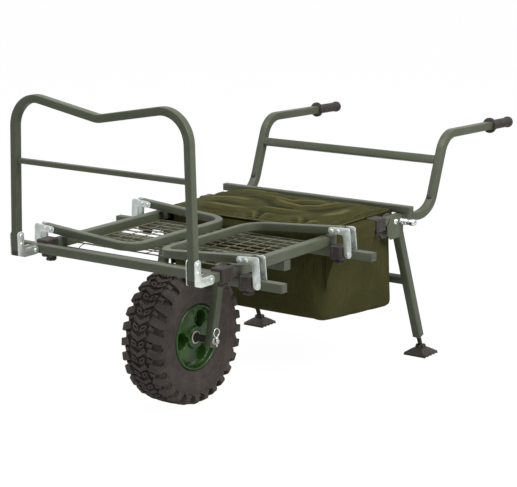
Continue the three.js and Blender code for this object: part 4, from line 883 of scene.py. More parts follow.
FAR = HOOP_Y - FRONT_PIVOT_Y
front_outline = rounded_outline(
    [(11, -11), (11, 11), (FAR + 11, 11), (FAR + 11, 56), (FAR - 11, 56), (FAR - 11, -4), (FAR + 11, -11)],
    [10.9, 10.9, 9, 9, 9, 4, 8])
for name, side in SIDES:
    origin = point(side * RAIL_X, FRONT_PIVOT_Y, RAIL_Z)
    bolts = [((0, 0), BOLT), ((FAR, 24), RIVET), ((FAR, 46), RIVET)]
    shape = bracket(front_outline, bolts, origin, Y_AXIS, Z_AXIS)
    shape.piece(f"front_bracket_{name}_plates", "front_hoop", "bracket_zinc", ZINC, [f"front_bracket_{name}"])
    x, half = side * RAIL_X, SLIM_SIDE / 2
    shape = Shape().block((x - half, HOOP_Y - half, HOOP_PLUG_BOTTOM_Z),
                          (x + half, HOOP_Y + half, HOOP_FOOT_Z), 1.6)
    shape.piece(f"upright_plug_{name}_cap", "front_hoop", "black_plastic", BLACK, [f"upright_plug_{name}"])


# Side frames, stubs and their brackets

SIDE_PIVOT_X = 352
SIDE_TILT = math.radians(4.2)
SIDE_TRAVEL = 60
SIDE_ARM_X = (15, 307)
SIDE_BEND_R = 50
STUB_END_X = 422
STUB_LENGTH = 272
side_reach = SIDE_PIVOT_X + SIDE_TRAVEL - RAIL_X + RAIL_SIDE / 2
rail_top = RAIL_Z + RAIL_SIDE / 2
side_under = rail_top + SEAT_GAP - SLEEVE_Z + side_reach * math.tan(SIDE_TILT)
side_rise = side_under * math.cos(SIDE_TILT) + SLIM_SIDE / 2
side_outline = rounded_outline(
    [(-11, -11), (11, -11), (11, side_rise + 9), (-55, side_rise + 9), (-55, side_rise - 9),
     (-11, side_rise - 9)],
    [10.9, 10.9, 8, 8.6, 8.6, 8])

for name, side in SIDES:
    tilt = Matrix.Rotation(-side * SIDE_TILT, 4, "Y")
    tipped = Matrix.Translation((side * SIDE_PIVOT_X, 0, SLEEVE_Z)) @ tilt
    front_y, rear_y = SLEEVES[0][1], SLEEVES[1][1]
    near_x, far_x = SIDE_ARM_X
    corners = [point(-side * x, y, side_rise) for x, y in
               ((near_x, front_y), (far_x, front_y), (far_x, rear_y), (near_x, rear_y))]
    path = rounded_path(corners, [SIDE_BEND_R] * 2)
    shape = Shape().tube(path, SLIM_SIDE, Z_AXIS, SLIM_CORNER_R).turn(tipped)
    paint_piece(shape, f"side_frame_{name}_tube", f"side_frame_{name}", [f"side_frame_{name}"])
    shape = Shape()
    for y in (front_y, rear_y):
        shape.end_plug(-side, near_x + 1.5, 2.5, y, side_rise, SLIM_SIDE / 2 - 0.1, 1.2)
    shape.turn(tipped).piece(f"side_frame_{name}_caps", f"side_frame_{name}", "black_plastic", BLACK)
    for end, y in SLEEVES:
        outline = [(side * u, v) for u, v in side_outline]
        bolts = [((0, 0), BOLT)] + [((-side * inward, side_rise), RIVET) for inward in (44, 25)]
        shape = bracket(outline, bolts, point(0, y, 0), X_AXIS, Z_AXIS).turn(tipped)
        shape.piece(f"side_bracket_{end}_{name}_plates", f"side_frame_{name}", "bracket_zinc", ZINC,
                    [f"side_bracket_{end}_{name}"])
        path = [point(side * x, y, SLEEVE_Z) for x in (STUB_END_X - STUB_LENGTH, STUB_END_X - 1.4)]
        paint_piece(Shape().tube(path, TUBE_SIDE, Y_AXIS), f"side_stub_{end}_{name}_tube",
                    f"side_slide_{name}", [f"side_stub_{end}_{name}"])
        shape = Shape().end_plug(side, STUB_END_X, 2, y, SLEEVE_Z, TUBE_SIDE / 2 - 0.2, 0.9)
        shape.piece(f"side_stub_{end}_{name}_cap", f"side_slide_{name}", "black_plastic", CAP)


# Clamp collars and thumbscrews

COLLAR_HALF = 18
RAIL_COLLAR = 44
SLEEVE_COLLAR = 36
COLLAR_BORE = 11.35
COLLAR_SOFT = 1.6
COLLAR_INSET = 2
LOBES = 6
LOBE_DEPTH = 0.08


def collar(centre, along, across, length, node):
    """A square plastic clamp: a thick ring with a raised band and a rounded boss for its screw."""
    shape = Shape()
    half = length / 2
    end = [(COLLAR_BORE, half), (COLLAR_HALF - COLLAR_SOFT, half), (COLLAR_HALF, half - COLLAR_SOFT)]
    loops = []
    for reach, place_along in [(reach, -spot) for reach, spot in end] + end[::-1]:
        outline = square_section(2 * reach, 3.4 if reach > COLLAR_BORE else 1.6)
        loops.append(placed(outline, centre + along * place_along, across, Z_AXIS))
    shape.loft(loops, ring=True)
    for share in (-0.62, 0.62):
        spot = centre + along * (share * half)
        outline = square_section(2 * COLLAR_HALF + 1.4, 3.8)
        rib = [placed(outline, spot + along * step, across, Z_AXIS) for step in (-1.5, 1.5)]
        shape.soften(shape.loft(rib), 0.6)
    shape.turned([(10, 0), (10, -1.3), (9.4, -1.7)], centre - Z_AXIS * (COLLAR_HALF - 1), Z_AXIS, 28)
    shape.piece(f"{node}_clamp", "chassis", "black_plastic", BLACK, [node])


KNOB_ROWS = [(4.2, -18.2), (6.8, -18.2), (7, -18.8), (7, -20.4), (11.6, -20.6), (13.4, -21.4), (14, -22.8),
             (14, -25.8), (13.4, -27.6), (11.8, -28.5), (7, -28.5), (6, -27.8), (1.2, -27.6)]


def knob(centre, node):
    """A thumbscrew with six lobes."""
    shape = Shape()
    loops = []
    for radius, height in KNOB_ROWS:
        depth = LOBE_DEPTH if radius > 7.5 else 0
        outline = []
        for c, s in circle(1, 48):
            reach = radius * (1 - depth * (1 - math.cos(LOBES * math.atan2(s, c))))
            outline.append((reach * c, reach * s))
        loops.append(placed(outline, centre + Z_AXIS * height, X_AXIS, Y_AXIS))
    shape.loft(loops)
    shape.bar([centre - Z_AXIS * 22, centre - Z_AXIS * 11.4], 2.8, 14)
    shape.piece(f"{node}_head", node, "black_plastic", BLACK, [node])


for name, side in SIDES:
    for end, y in (("front", RAIL_FRONT_Y + 20), ("rear", RAIL_REAR_Y - 20)):
        centre = point(side * RAIL_X, y, RAIL_Z)
        collar(centre, Y_AXIS, X_AXIS, RAIL_COLLAR, f"rail_collar_{end}_{name}")
        knob(centre, f"rail_knob_{end}_{name}")
    for end, y in SLEEVES:
        centre = point(side * (SLEEVE_HALF - COLLAR_INSET), y, SLEEVE_Z)
        collar(centre, X_AXIS, Y_AXIS, SLEEVE_COLLAR, f"side_collar_{end}_{name}")
        knob(centre, f"side_knob_{end}_{name}")


# Handles

HANDLE_CORNERS = [(280, 262, 410), (280, 560, 410), (300, 670, 398), (301, 751, 609), (301, 1116, 596)]
HANDLE_RADII = [40, 72, 64]
GRIP_LENGTH = 116
GRIP_PATTERN = (12, 98)
GRIP_WAIST_R = 13.4
DIAMONDS = 9
DIAMOND_PITCH = 9.2
DIAMOND_RISE = 0.55
HANDLE_BAR_Z = 541
PLUG_Z = 442
PLUG_ROWS = [(7.6, -1.5), (7.6, 1.2), (6.6, 2.2), (4.4, 2.8), (1, 3)]
REAR_BAR_HALF = 316
REAR_BAR_Y = 560
grip_along = (Vector(HANDLE_CORNERS[4]) - Vector(HANDLE_CORNERS[3])).normalized()
low_corner, high_corner = Vector(HANDLE_CORNERS[2]), Vector(HANDLE_CORNERS[3])
climb = (high_corner - low_corner).normalized()
climb_front = Vector((0, -climb.z, climb.y)).normalized()

GRIP_ROWS = [(8, -0.2), (20.6, 0), (22, 1.2), (22, 4.8), (20.8, 6), (15.6, 7.2), (14.2, 9.5), (13.8, 12)]
GRIP_END_ROWS = [(14.2, 98), (15.4, 101.5), (16, 104.5), (16, 109), (15.2, 112.6), (13, 115), (9, 116),
                 (2, 116)]


def on_handle(z):
    """The middle of the left handle's rising part at a height."""
    return low_corner + (high_corner - low_corner) * ((z - low_corner.z) / (high_corner.z - low_corner.z))


def grip(side):
    """A flanged grip with a diamond pattern and a bulged end."""
    start = Vector(HANDLE_CORNERS[4]) - grip_along * GRIP_LENGTH
    start = Vector((side * start.x, start.y, start.z))
    along = Vector((side * grip_along.x, grip_along.y, grip_along.z))
    level = (X_AXIS - along * along.dot(X_AXIS)).normalized()
    second = along.cross(level)
    pattern_start, pattern_end = GRIP_PATTERN
    middle = [(GRIP_WAIST_R, reach) for reach in spaced(pattern_start, pattern_end, 56)[1:-1]]
    shape = Shape()
    loops = []
    for radius, reach in GRIP_ROWS + middle + GRIP_END_ROWS:
        patterned = ramp(reach, pattern_start, pattern_start + 3) * ramp(reach, pattern_end, pattern_end - 3)
        phase = reach * 2 * math.pi / DIAMOND_PITCH
        outline = []
        for c, s in circle(1, 72):
            angle = DIAMONDS * math.atan2(s, c)
            bulge = radius + DIAMOND_RISE * math.sin(angle + phase) * math.sin(angle - phase) * patterned
            outline.append((bulge * c, bulge * s))
        loops.append(placed(outline, start + along * reach, level, second))
    shape.loft(loops)
    return shape


for name, side in SIDES:
    corners = [point(side * x, y, z) for x, y, z in HANDLE_CORNERS]
    corners[-1] -= (corners[-1] - corners[-2]).normalized() * (GRIP_LENGTH - 1)
    shape = Shape().tube(rounded_path(corners, HANDLE_RADII), TUBE_SIDE, X_AXIS)
    paint_piece(shape, f"handle_{name}_tube", "rear_slide", [f"handle_{name}"])
    grip(side).piece(f"grip_{name}_rubber", "rear_slide", "black_plastic", BLACK, [f"grip_{name}"], 60)
    plug_at = on_handle(PLUG_Z)
    plug_at = point(side * plug_at.x, plug_at.y, plug_at.z) + climb_front * (TUBE_SIDE / 2)
    shape = Shape().turned(PLUG_ROWS, plug_at, climb_front, 32)
    shape.piece(f"handle_{name}_plug", "rear_slide", "black_plastic", BLACK)

bar_at = on_handle(HANDLE_BAR_Z)
path = across_line(bar_at.x - TUBE_SIDE / 2, bar_at.y, bar_at.z)
shape = Shape().tube(path, TUBE_SIDE, Vector((0, climb.y, climb.z)).normalized())
paint_piece(shape, "handle_crossbar_tube", "rear_slide", ["handle_crossbar"])

rear_bar_z = RAIL_Z + TUBE_SIDE / 2 + SEAT_GAP + SLIM_SIDE / 2
shape = level_tube(REAR_BAR_Y, REAR_BAR_HALF - 1.2, rear_bar_z, SLIM_SIDE)
paint_piece(shape, "rear_crossbar_tube", "rear_slide", ["rear_crossbar"])
shape = Shape()
for _, side in SIDES:
    shape.end_plug(side, REAR_BAR_HALF, 2, REAR_BAR_Y, rear_bar_z, SLIM_SIDE / 2 - 0.2, 0.9)
shape.piece("rear_crossbar_caps", "rear_slide", "black_plastic", CAP)


# Leg frame, feet and plungers

LEG_PIVOT_Y = 515
LEG_PIVOT_Z = 406
LEG_SIDE = 23.4
LEG_LOW = point(RAIL_X, 644.6, 88.5)
leg_rake = point(RAIL_X, 537.8, 398) - LEG_LOW
BALL_Y = 669
BALL_Z = 24
PLUNGER_Y = 540
PLUNGER_Z = 403
LEG_ENDS_Z = (397, 56)
STEM_ROOT_Z = 58
BRACE_Z = 226
BRACE_HALF = RAIL_X - 11
PIVOT_HEAD = [(8, -0.4), (8, 1), (7.2, 2), (5.4, 2.7), (2.5, 3)]
PLUNGER_BASE = [(9, -0.4), (9, 11.4), (8.2, 12.6), (8.2, 13.4), (7.4, 14), (3.9, 14)]


def on_leg(z, x):
    """The middle of a leg at a height."""
    spot = LEG_LOW + leg_rake * ((z - LEG_LOW.z) / leg_rake.z)
    return point(x, spot.y, spot.z)


hanger_outline = rounded_outline(
    [(476, 376), (491, 360), (552, 360), (556, 408), (536, 416), (524, 426), (497, 424), (476, 398)],
    [6, 6, 5, 8, 8, 14, 16, 8])
shape, hangers, bolts, stems = Shape(), Shape(), Shape(), Shape()
for _, side in SIDES:
    x = side * RAIL_X
    shape.tube([on_leg(z, x) for z in LEG_ENDS_Z], LEG_SIDE, X_AXIS)
    pivot = point(x, LEG_PIVOT_Y, LEG_PIVOT_Z)
    for face in (-1, 1):
        hangers.plate(hanger_outline, point(x + face * PLATE_MIDDLE, 0, 0), Y_AXIS, Z_AXIS, PLATE, 0.7)
        out = X_AXIS * face
        bolts.turned(PIVOT_HEAD, pivot + out * PLATE_FACE, out, 32)
    bolts.bar([pivot - X_AXIS * PLATE_FACE, pivot + X_AXIS * PLATE_FACE], 4, 20)
    out = X_AXIS * side
    bolts.turned(PLUNGER_BASE, point(x, PLUNGER_Y, PLUNGER_Z) + out * PLATE_FACE, out, 36)
    ball = point(x, BALL_Y, BALL_Z)
    root = on_leg(STEM_ROOT_Z, x)
    along = (ball - root).normalized()
    reach = (ball - root).length
    stem = [(9.6, -3), (10.6, -1), (10.6, 3), (8.6, 5), (6.6, 8), (6, reach - 6), (6.2, reach - 4.6),
            (7.7, reach - 2), (8, reach), (7.6, reach + 2.6), (6.2, reach + 5), (4, reach + 6.9),
            (1, reach + 7.9)]
    stems.turned(stem, root, along, 32)
brace_across = Vector((0, leg_rake.y, leg_rake.z)).normalized()
brace = [on_leg(BRACE_Z, side * BRACE_HALF) for side in (-1, 1)]
shape.tube(brace, SLIM_SIDE, brace_across, SLIM_CORNER_R)
paint_piece(shape, "leg_tubes", "legs", ["leg_frame"])
paint_piece(hangers, "leg_hanger_plates", "legs")
bolts.piece("leg_pivot_bolts", "legs", "pin_chrome", CHROME)
stems.piece("leg_ball_stems", "legs", "black_plastic", BLACK)

PLUNGER_ROWS = [(3.4, -16), (3.4, 0), (8.2, 0.2), (9, 1), (9, 5), (8.4, 6), (7.8, 9), (7.8, 12), (8.4, 15),
                (9, 17), (9, 29.5), (8, 31), (5.4, 31.8), (1.4, 32)]
for name, side in SIDES:
    start = point(side * (RAIL_X + PLATE_FACE + 14.3), PLUNGER_Y, PLUNGER_Z)
    shape = Shape().turned(PLUNGER_ROWS, start, X_AXIS * side, 40)
    shape.piece(f"plunger_{name}_knob", f"plunger_{name}", "pin_chrome", CHROME, [f"plunger_{name}"])


FOOT_HALF = 35
CLEATS = 5
CLEAT_DEPTH = 3
FOOT_TIERS = 6
TIER_LOW = (31, 8.4)
TIER_HIGH = (15, 18.9)
NOTCHES = 8
TOOTH = [(9.6, 17), (14.6, 17), (14, 25), (12.6, 28), (10.8, 28), (9.6, 25)]
TOOTH_HALF = 3.4


def foot(x):
    """A ribbed pyramid foot with a notched socket, on rows of cleats."""
    shape = Shape()
    centre = point(x, BALL_Y, 0)
    rib = 2 * FOOT_HALF / (2 * CLEATS - 1)
    for i in range(CLEATS):
        y = BALL_Y - FOOT_HALF + 2 * i * rib
        shape.block((x - FOOT_HALF, y, 0), (x + FOOT_HALF, y + rib, CLEAT_DEPTH), 0.8)
    rows = [(34, 2), (35, 3), (35, 6.6), (34, 7.6), TIER_LOW]
    for i in range(FOOT_TIERS):
        share = i / FOOT_TIERS
        out = TIER_LOW[0] + (TIER_HIGH[0] - TIER_LOW[0]) * share
        up = TIER_LOW[1] + (TIER_HIGH[1] - TIER_LOW[1]) * share ** 0.9
        rows += [(out, up + 0.9), (out - 1.3, up + 1.2), (out - 1.6, up + 0.7)]
    rows += [(15, 19.5), (12.5, 20.5)]
    loops = []
    for half, height in rows:
        outline = square_section(2 * half, min(5, half * 0.4), 4)
        loops.append(placed(outline, centre + Z_AXIS * height, X_AXIS, Y_AXIS))
    shape.loft(loops)
    for turn in range(NOTCHES):
        angle = 2 * math.pi / NOTCHES * (turn + 0.5)
        out = point(math.cos(angle), math.sin(angle), 0)
        level = Z_AXIS.cross(out)
        loops = [[centre + out * u + Z_AXIS * v + level * (face * TOOTH_HALF * u / 12) for u, v in TOOTH]
                 for face in (-1, 1)]
        shape.soften(shape.loft(loops), 0.6)
    return shape


for name, side in SIDES:
    shape = foot(side * RAIL_X)
    shape.piece(f"foot_{name}_pad", f"foot_{name}", "black_plastic", BLACK, [f"foot_{name}"])


# Bag and lid

BAG_HALF = 260
BAG_FRONT_Y = 238
BAG_TOP_Z = 425.8
BAG_FOLD_Z = 385.5
BAG_REAR = (546, 555)
BAG_BOTTOM = (183, 158)
BAG_SHRINK = 0.4
BAG_WALL = 2.2
BAG_PINNED_Z = 412
BAG_VOXEL = 7.5
BAG_PRESSURE = 3.2
TUB_BEND = [(42, 0.0), (18, 0.0), (10, 1.2), (4.5, 4.5), (1.2, 10), (0, 18)]
TUB_ROWS = 30
TUB_CORNERS = (11, 11, 30, 30)
SWELL_CAP = 6.5
SWELL_IN = 0.8
HEM_Y = (241, 414)
HEM_OUTER = 295.8
HEM_INNER = 293.1
HEM_STEPS = 24
HEM_TAPER = 9
HEM_SOFT_Z = 420
HEM_LEVELS = (BAG_FOLD_Z, 396, 408, 417)
HEM_TOP = [(295.2, 421.5), (293.4, 424.6), (290, 425.8), (279, 425.8), (268, 425.8), (259, 425.8),
           (259, 423.2), (268, 423.2), (279, 423.2), (290, 423.2), (292.6, 421.6)]
HEM_SECTION = ([(HEM_OUTER, z) for z in HEM_LEVELS] + HEM_TOP
               + [(HEM_INNER, z) for z in reversed(HEM_LEVELS)])
SKIRT_ROWS = 14
SKIRT_FOOT = (259.5, 272)
SKIRT_INNER = 257
LID_BOTTOM = 426.1
LID_HALF = 261


def tub_loops(shrink):
    """Level loops of the closed tub, from the middle of its bottom up to its top."""
    full = BAG_TOP_Z - BAG_BOTTOM[1] - shrink
    front = BAG_FRONT_Y + shrink
    loops = []
    for inset, rise in TUB_BEND + [(0, rise) for rise in spaced(TUB_BEND[-1][1], full, TUB_ROWS)[1:]]:
        share = rise / full
        rear = BAG_REAR[1] + (BAG_REAR[0] - BAG_REAR[1]) * share - shrink
        reach_x, reach_y = BAG_HALF - shrink - inset, (rear - front) / 2 - inset
        radii = [max(radius - inset * 0.2, 5) for radius in TUB_CORNERS]
        loop = []
        for u, v in rounded_outline(rectangle(reach_x, reach_y), radii, 8):
            back = (v + reach_y) / (2 * reach_y)
            low = BAG_BOTTOM[0] + (BAG_BOTTOM[1] - BAG_BOTTOM[0]) * back + shrink
            loop.append(point(u, (rear + front) / 2 + v, low + (BAG_TOP_Z - 0.5 - low) * share))
        loops.append(loop)
    return loops


def evaluated_mesh(piece):
    """A new mesh of the piece as its modifiers leave it."""
    graph = bpy.context.evaluated_depsgraph_get()
    return bpy.data.meshes.new_from_object(piece.evaluated_get(graph))


CLOTH_FRAMES = 20
CLOTH_SETTINGS = {"quality": 5, "mass": 0.3, "tension_stiffness": 12, "compression_stiffness": 8,
                  "shear_stiffness": 4, "bending_stiffness": 0.6, "use_pressure": True,
                  "vertex_group_mass": "held"}


def swell(piece, voxel, pressure, cap, pinned, extra):
    """Remeshes closed cloth, blows it up in a short cloth simulation and keeps the capped result."""
    remesh = piece.modifiers.new("even", "REMESH")
    remesh.mode = "VOXEL"
    remesh.voxel_size = voxel * MM
    even = evaluated_mesh(piece)
    piece.modifiers.remove(remesh)
    piece.data = even
    rest = [(v.co.copy(), v.normal.copy()) for v in even.vertices]
    held = piece.vertex_groups.new(name="held")
    held.add([v.index for v in even.vertices if pinned(v.co / MM + Y_AXIS * ORIGIN_Y)], 1, "REPLACE")
    cloth = piece.modifiers.new("swell", "CLOTH")
    for setting, value in CLOTH_SETTINGS.items():
        setattr(cloth.settings, setting, value)
    cloth.settings.shrink_min = -extra
    cloth.settings.uniform_pressure_force = pressure
    cloth.settings.effector_weights.gravity = 0
    cloth.collision_settings.use_collision = False
    scene = bpy.context.scene
    for step in range(1, CLOTH_FRAMES + 1):
        scene.frame_set(step)
    blown = evaluated_mesh(piece)
    piece.modifiers.remove(cloth)
    piece.vertex_groups.clear()
    scene.frame_set(1)
    piece.data = blown
    for vertex, (start, normal) in zip(blown.vertices, rest):
        move = vertex.co - start
        out = move.dot(normal)
        if out < -SWELL_IN * MM:
            move -= normal * (out + SWELL_IN * MM)
        if move.length > cap * MM:
            move = move.normalized() * (cap * MM)
        vertex.co = start + move


def closed_object(name, loops):
    shape = Shape()
    shape.loft(loops)
    bmesh.ops.recalc_face_normals(shape.bm, faces=shape.bm.faces)
    bmesh.ops.triangulate(shape.bm, faces=shape.bm.faces)
    mesh = bpy.data.meshes.new(name)
    shape.bm.to_mesh(mesh)
    shape.bm.free()
    mesh.transform(Matrix.Scale(MM, 4) @ Matrix.Translation((0, -ORIGIN_Y, 0)))
    return new_object(name, mesh)


def relax(bm, rounds):
    for _ in range(rounds):
        bmesh.ops.smooth_vert(bm, verts=bm.verts, factor=0.5, use_axis_x=True, use_axis_y=True,
                              use_axis_z=True)


def cut_level(bm, z, drop_above):
    """Cuts a mesh at a height and drops what lies above or below it."""
    bmesh.ops.bisect_plane(bm, geom=bm.verts[:] + bm.edges[:] + bm.faces[:], plane_co=(0, 0, z * MM),
                           plane_no=(0, 0, 1 if drop_above else -1), clear_outer=True)


def bag():
    """The hung tub: an open shell of cloth with a sewn bottom, split at one height into an upper band and a
    lower tub.
    """
    tub = closed_object("bag_tub", tub_loops(BAG_SHRINK))
    swell(tub, BAG_VOXEL, BAG_PRESSURE, SWELL_CAP, lambda p: p.z > BAG_PINNED_Z, 0.02)
    bm = bmesh.new()
    bm.from_mesh(tub.data)
    relax(bm, 2)
    cut_level(bm, BAG_TOP_Z - BAG_WALL, True)
    bm.to_mesh(tub.data)
    bm.free()
    wall = tub.modifiers.new("wall", "SOLIDIFY")
    wall.thickness = BAG_WALL * MM
    wall.offset = -1
    shell = evaluated_mesh(tub)
    bpy.data.objects.remove(tub)
    for name, drop_above in (("bag_upper_band", False), ("bag_lower_tub", True)):
        bm = bmesh.new()
        bm.from_mesh(shell)
        cut_level(bm, BAG_FOLD_Z, drop_above)
        mesh = bpy.data.meshes.new(name)
        bm.to_mesh(mesh)
        bm.free()
        made = dress(new_object(name, mesh), "chassis", CLOTH, ["bag_body"], 70)
        if drop_above:
            fold_with_legs(made)


def fold_with_legs(piece):
    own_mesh(piece)


def waved(mesh, reach, size):
    """Small soft unevenness, the same on every run."""
    for vertex in mesh.vertices:
        spot = vertex.co * (1000 / size)
        vertex.co += Vector([noise.noise(spot + Vector((k * 17.3, 0, 0))) for k in (1, 2, 3)]) * (reach * MM)


def wall_line(y, height):
    """How far out the skirt's cloth stands, with slow waves along the rail."""
    wave = 0.9 * math.sin(y / 27) + 0.6 * math.sin(y / 11 + 1)
    ends = ramp(y, HEM_Y[0], HEM_Y[0] + HEM_TAPER) * ramp(y, HEM_Y[1], HEM_Y[1] - HEM_TAPER)
    return wave * ends * ramp(height, 425, 380) - 2.2 * (1 - ends)


def hem_loop(side, y):
    loop = []
    for x, z in HEM_SECTION:
        deepest = -0.2 if x == HEM_INNER else -2.4
        out = max(wall_line(y, z), deepest) if z < HEM_SOFT_Z else 0
        loop.append(point(side * (x + out), y, z))
    return loop


def skirt_loop(side, y):
    foot_x, foot_z = SKIRT_FOOT
    loop = []
    for share in spaced(0, 1, SKIRT_ROWS):
        x = HEM_OUTER + (foot_x - HEM_OUTER) * ramp(share, -0.15, 1.0)
        z = BAG_FOLD_Z - (BAG_FOLD_Z - foot_z) * share
        loop.append(point(side * (x + wall_line(y, z) * (1 - share)), y, z))
    return loop + [point(side * SKIRT_INNER, y, z) for z in (foot_z, BAG_FOLD_Z)]


bag()
for name, side in SIDES:
    for part, section in (("hem", hem_loop), ("skirt", skirt_loop)):
        shape = Shape()
        shape.loft([section(side, y) for y in spaced(*HEM_Y, HEM_STEPS)])
        made = shape.piece(f"bag_{part}_{name}", "chassis", "bag_fabric", CLOTH, smooth=60)
        if part == "skirt":
            fold_with_legs(made)


# Lid: a soft pad with long folds, piped round its edge
# Each fold is a line of (x, y) places, a width and a height
FOLD_WIDTH = 1.05
FOLD_RISE = 1.15
FOLD_FULL = 10
LID_FOLDS = [
    ([(-135, 469), (-49, 435), (21, 421), (69, 442), (105, 457), (170, 462)], 13, 5.2),
    ([(-63, 444), (30, 381), (93, 364), (130, 388), (147, 446), (152, 525)], 14, 6.0),
    ([(-20, 322), (57, 317), (104, 327), (135, 347)], 12, 4.0),
    ([(-190, 300), (-130, 292), (-70, 288), (-16, 295)], 14, 3.6),
    ([(-235, 350), (-150, 372), (-70, 372)], 20, 3.4),
    ([(-220, 470), (-160, 500), (-60, 510)], 18, 3.4),
    ([(190, 300), (215, 370), (205, 440)], 20, 3.2),
    ([(24, 240), (14, 262), (-6, 280)], 7, 4.4),
    ([(40, 240), (44, 262), (60, 280)], 7, 3.8),
    ([(172, 240), (162, 262), (140, 280)], 7, 4.6),
    ([(190, 240), (198, 262), (214, 278)], 7, 4.2),
    ([(181, 240), (181, 262)], 5, -4.5),
    ([(32, 240), (32, 258)], 5, -4.0),
]


def fold_lift(x, y):
    """Height, and share of painted crest highlight, that the folds add at a place on the lid; each fold fades
    out at its ends.
    """
    lift, crest_highlight = 0, 0
    spot = Vector((x, y))
    for line, width, rise in LID_FOLDS:
        width, rise = width * FOLD_WIDTH, rise * FOLD_RISE
        line = [Vector(place) for place in line]
        total = sum((end - start).length for start, end in zip(line, line[1:]))
        away, reached, passed = 1e9, 0, 0
        for start, end in zip(line, line[1:]):
            span = end - start
            share = min(1, max(0, (spot - start).dot(span) / span.length_squared))
            distance = (spot - (start + span * share)).length
            if distance < away:
                away, reached = distance, passed + share * span.length
            passed += span.length
        fade = ramp(min(reached, total - reached), -4, 0.3 * total)
        lift += fade * rise * (math.exp(-(away / width) ** 2)
                               - 0.35 * math.exp(-((away - 2.1 * width) / width) ** 2))
        crest_highlight = max(crest_highlight, fade * math.exp(-(away / (0.42 * width)) ** 2) * (rise > 0))
    return lift, crest_highlight


LID_EDGE_X = LID_HALF - 2.5
LID_MIDDLE_Y = (BAG_REAR[0] + BAG_FRONT_Y) / 2
LID_REACH_Y = (BAG_REAR[0] - BAG_FRONT_Y) / 2 - 2
LID_ROWS = ((60, 0.4), (24, 0.4), (3, 0.4), (0.6, 1.4), (0, 3), (0.6, 5.2), (3, 6.6), (24, 10), (60, 13.5),
            (110, 16), (140, 16.6))
LID_VOXEL = 5.5
LID_PRESSURE = 2.2
LID_CAP = 5.0
LID_PINNED = 3.4
LID_CEILING = 27
PIPING_LENGTH = 12
LID_FLAP_Y = (419, 545)
LID_FLAP_LOW = 416
LID_FLAP_TOP = [(263, 424), (262.2, 429), (259, 431), (257.5, 429.5), (260.6, 427.5)]


def lid_outline(inset, radius, steps):
    return rounded_outline(rectangle(LID_EDGE_X - inset, LID_REACH_Y - inset), [radius] * 4, steps)


def lid_pad():
    """The swollen pad with its folds; gives back its surface to lay the piping on."""
    loops = [[point(u, LID_MIDDLE_Y + v, LID_BOTTOM + rise)
              for u, v in lid_outline(inset, max(4, 12 - inset * 0.1), 5)] for inset, rise in LID_ROWS]
    pad = closed_object("bag_lid_pad", loops)
    swell(pad, LID_VOXEL, LID_PRESSURE, LID_CAP, lambda p: p.z < LID_BOTTOM + LID_PINNED, 0.03)
    bm = bmesh.new()
    bm.from_mesh(pad.data)
    relax(bm, 3)
    # The fold layer holds painted light: above 0.5 on crests for painted highlight, below 0.5 in valleys for
    # painted shade.
    fold_painted_light = bm.verts.layers.float.new("fold_painted_light")
    for vertex in bm.verts:
        x, y, z = vertex.co / MM
        y += ORIGIN_Y
        share = ramp(z, LID_BOTTOM + 4, LID_BOTTOM + 9)
        edge = min(LID_HALF - abs(x), y - BAG_FRONT_Y, BAG_REAR[0] - y)
        lift, crest_highlight = fold_lift(x, y)
        lift *= share * ramp(edge, 0, 26)
        vertex[fold_painted_light] = min(1, max(0, 0.5 + 0.5 * crest_highlight * share + min(lift, 0) / FOLD_FULL))
        lifted = vertex.co.z + lift * MM
        vertex.co.z = min(max(lifted, LID_BOTTOM * MM), (LID_BOTTOM + LID_CEILING) * MM)
    bm.to_mesh(pad.data)
    surface = BVHTree.FromBMesh(bm)
    bm.free()
    waved(pad.data, 0.3, 46)
    dress(pad, "bag_lid", LID_CLOTH, ["bag_lid"], 75)
    return surface


def lid_piping(surface):
    """Two piped lines: one round the lid's edge and one that lies on the pad."""
    shape = Shape()
    for inset, rise, radius in ((0.6, 3.2, 2.2), (14, None, 1.3)):
        outline = lid_outline(inset, 12, 8)
        line = []
        for start, end in zip(outline, outline[1:] + outline[:1]):
            parts = max(1, int(math.dist(start, end) / PIPING_LENGTH))
            line += [Vector(start).lerp(Vector(end), k / parts) for k in range(parts)]
        loops = []
        for i, spot in enumerate(line):
            along = (line[(i + 1) % len(line)] - line[i - 1]).normalized()
            centre = point(spot.x, LID_MIDDLE_Y + spot.y, LID_BOTTOM + (rise or 0))
            if rise is None:
                above = point(centre.x, centre.y - ORIGIN_Y, LID_BOTTOM + 60) * MM
                centre.z = surface.ray_cast(above, Vector((0, 0, -1)))[0].z / MM + 0.4
            loops.append(placed(circle(radius, 10), centre, Vector((along.y, -along.x, 0)), Z_AXIS))
        shape.loft(loops, ring=True)
    shape.piece("bag_lid_piping", "bag_lid", "bag_fabric", PIPING)


def lid_flaps():
    flaps, edging = Shape(), Shape()
    for _, side in SIDES:
        loops, line = [], []
        for y in spaced(*LID_FLAP_Y, 16):
            low = LID_FLAP_LOW + 0.6 * math.sin(y / 9)
            section = [(261.4, low), (262.9, low)] + LID_FLAP_TOP
            loops.append([point(side * x, y, z) for x, z in section])
            line.append(point(side * 262.6, y, low))
        flaps.loft(loops)
        edging.bar(line, 1.4, 10)
    # The flaps carry no fold layer, so the lid cloth paints them almost wholly in its dark valley shade.
    flaps.piece("bag_lid_side_flaps", "bag_lid", "bag_fabric", LID_CLOTH, smooth=60)
    edging.piece("bag_lid_flap_piping", "bag_lid", "bag_fabric", PIPING)


lid_piping(lid_pad())
lid_flaps()


# Studio

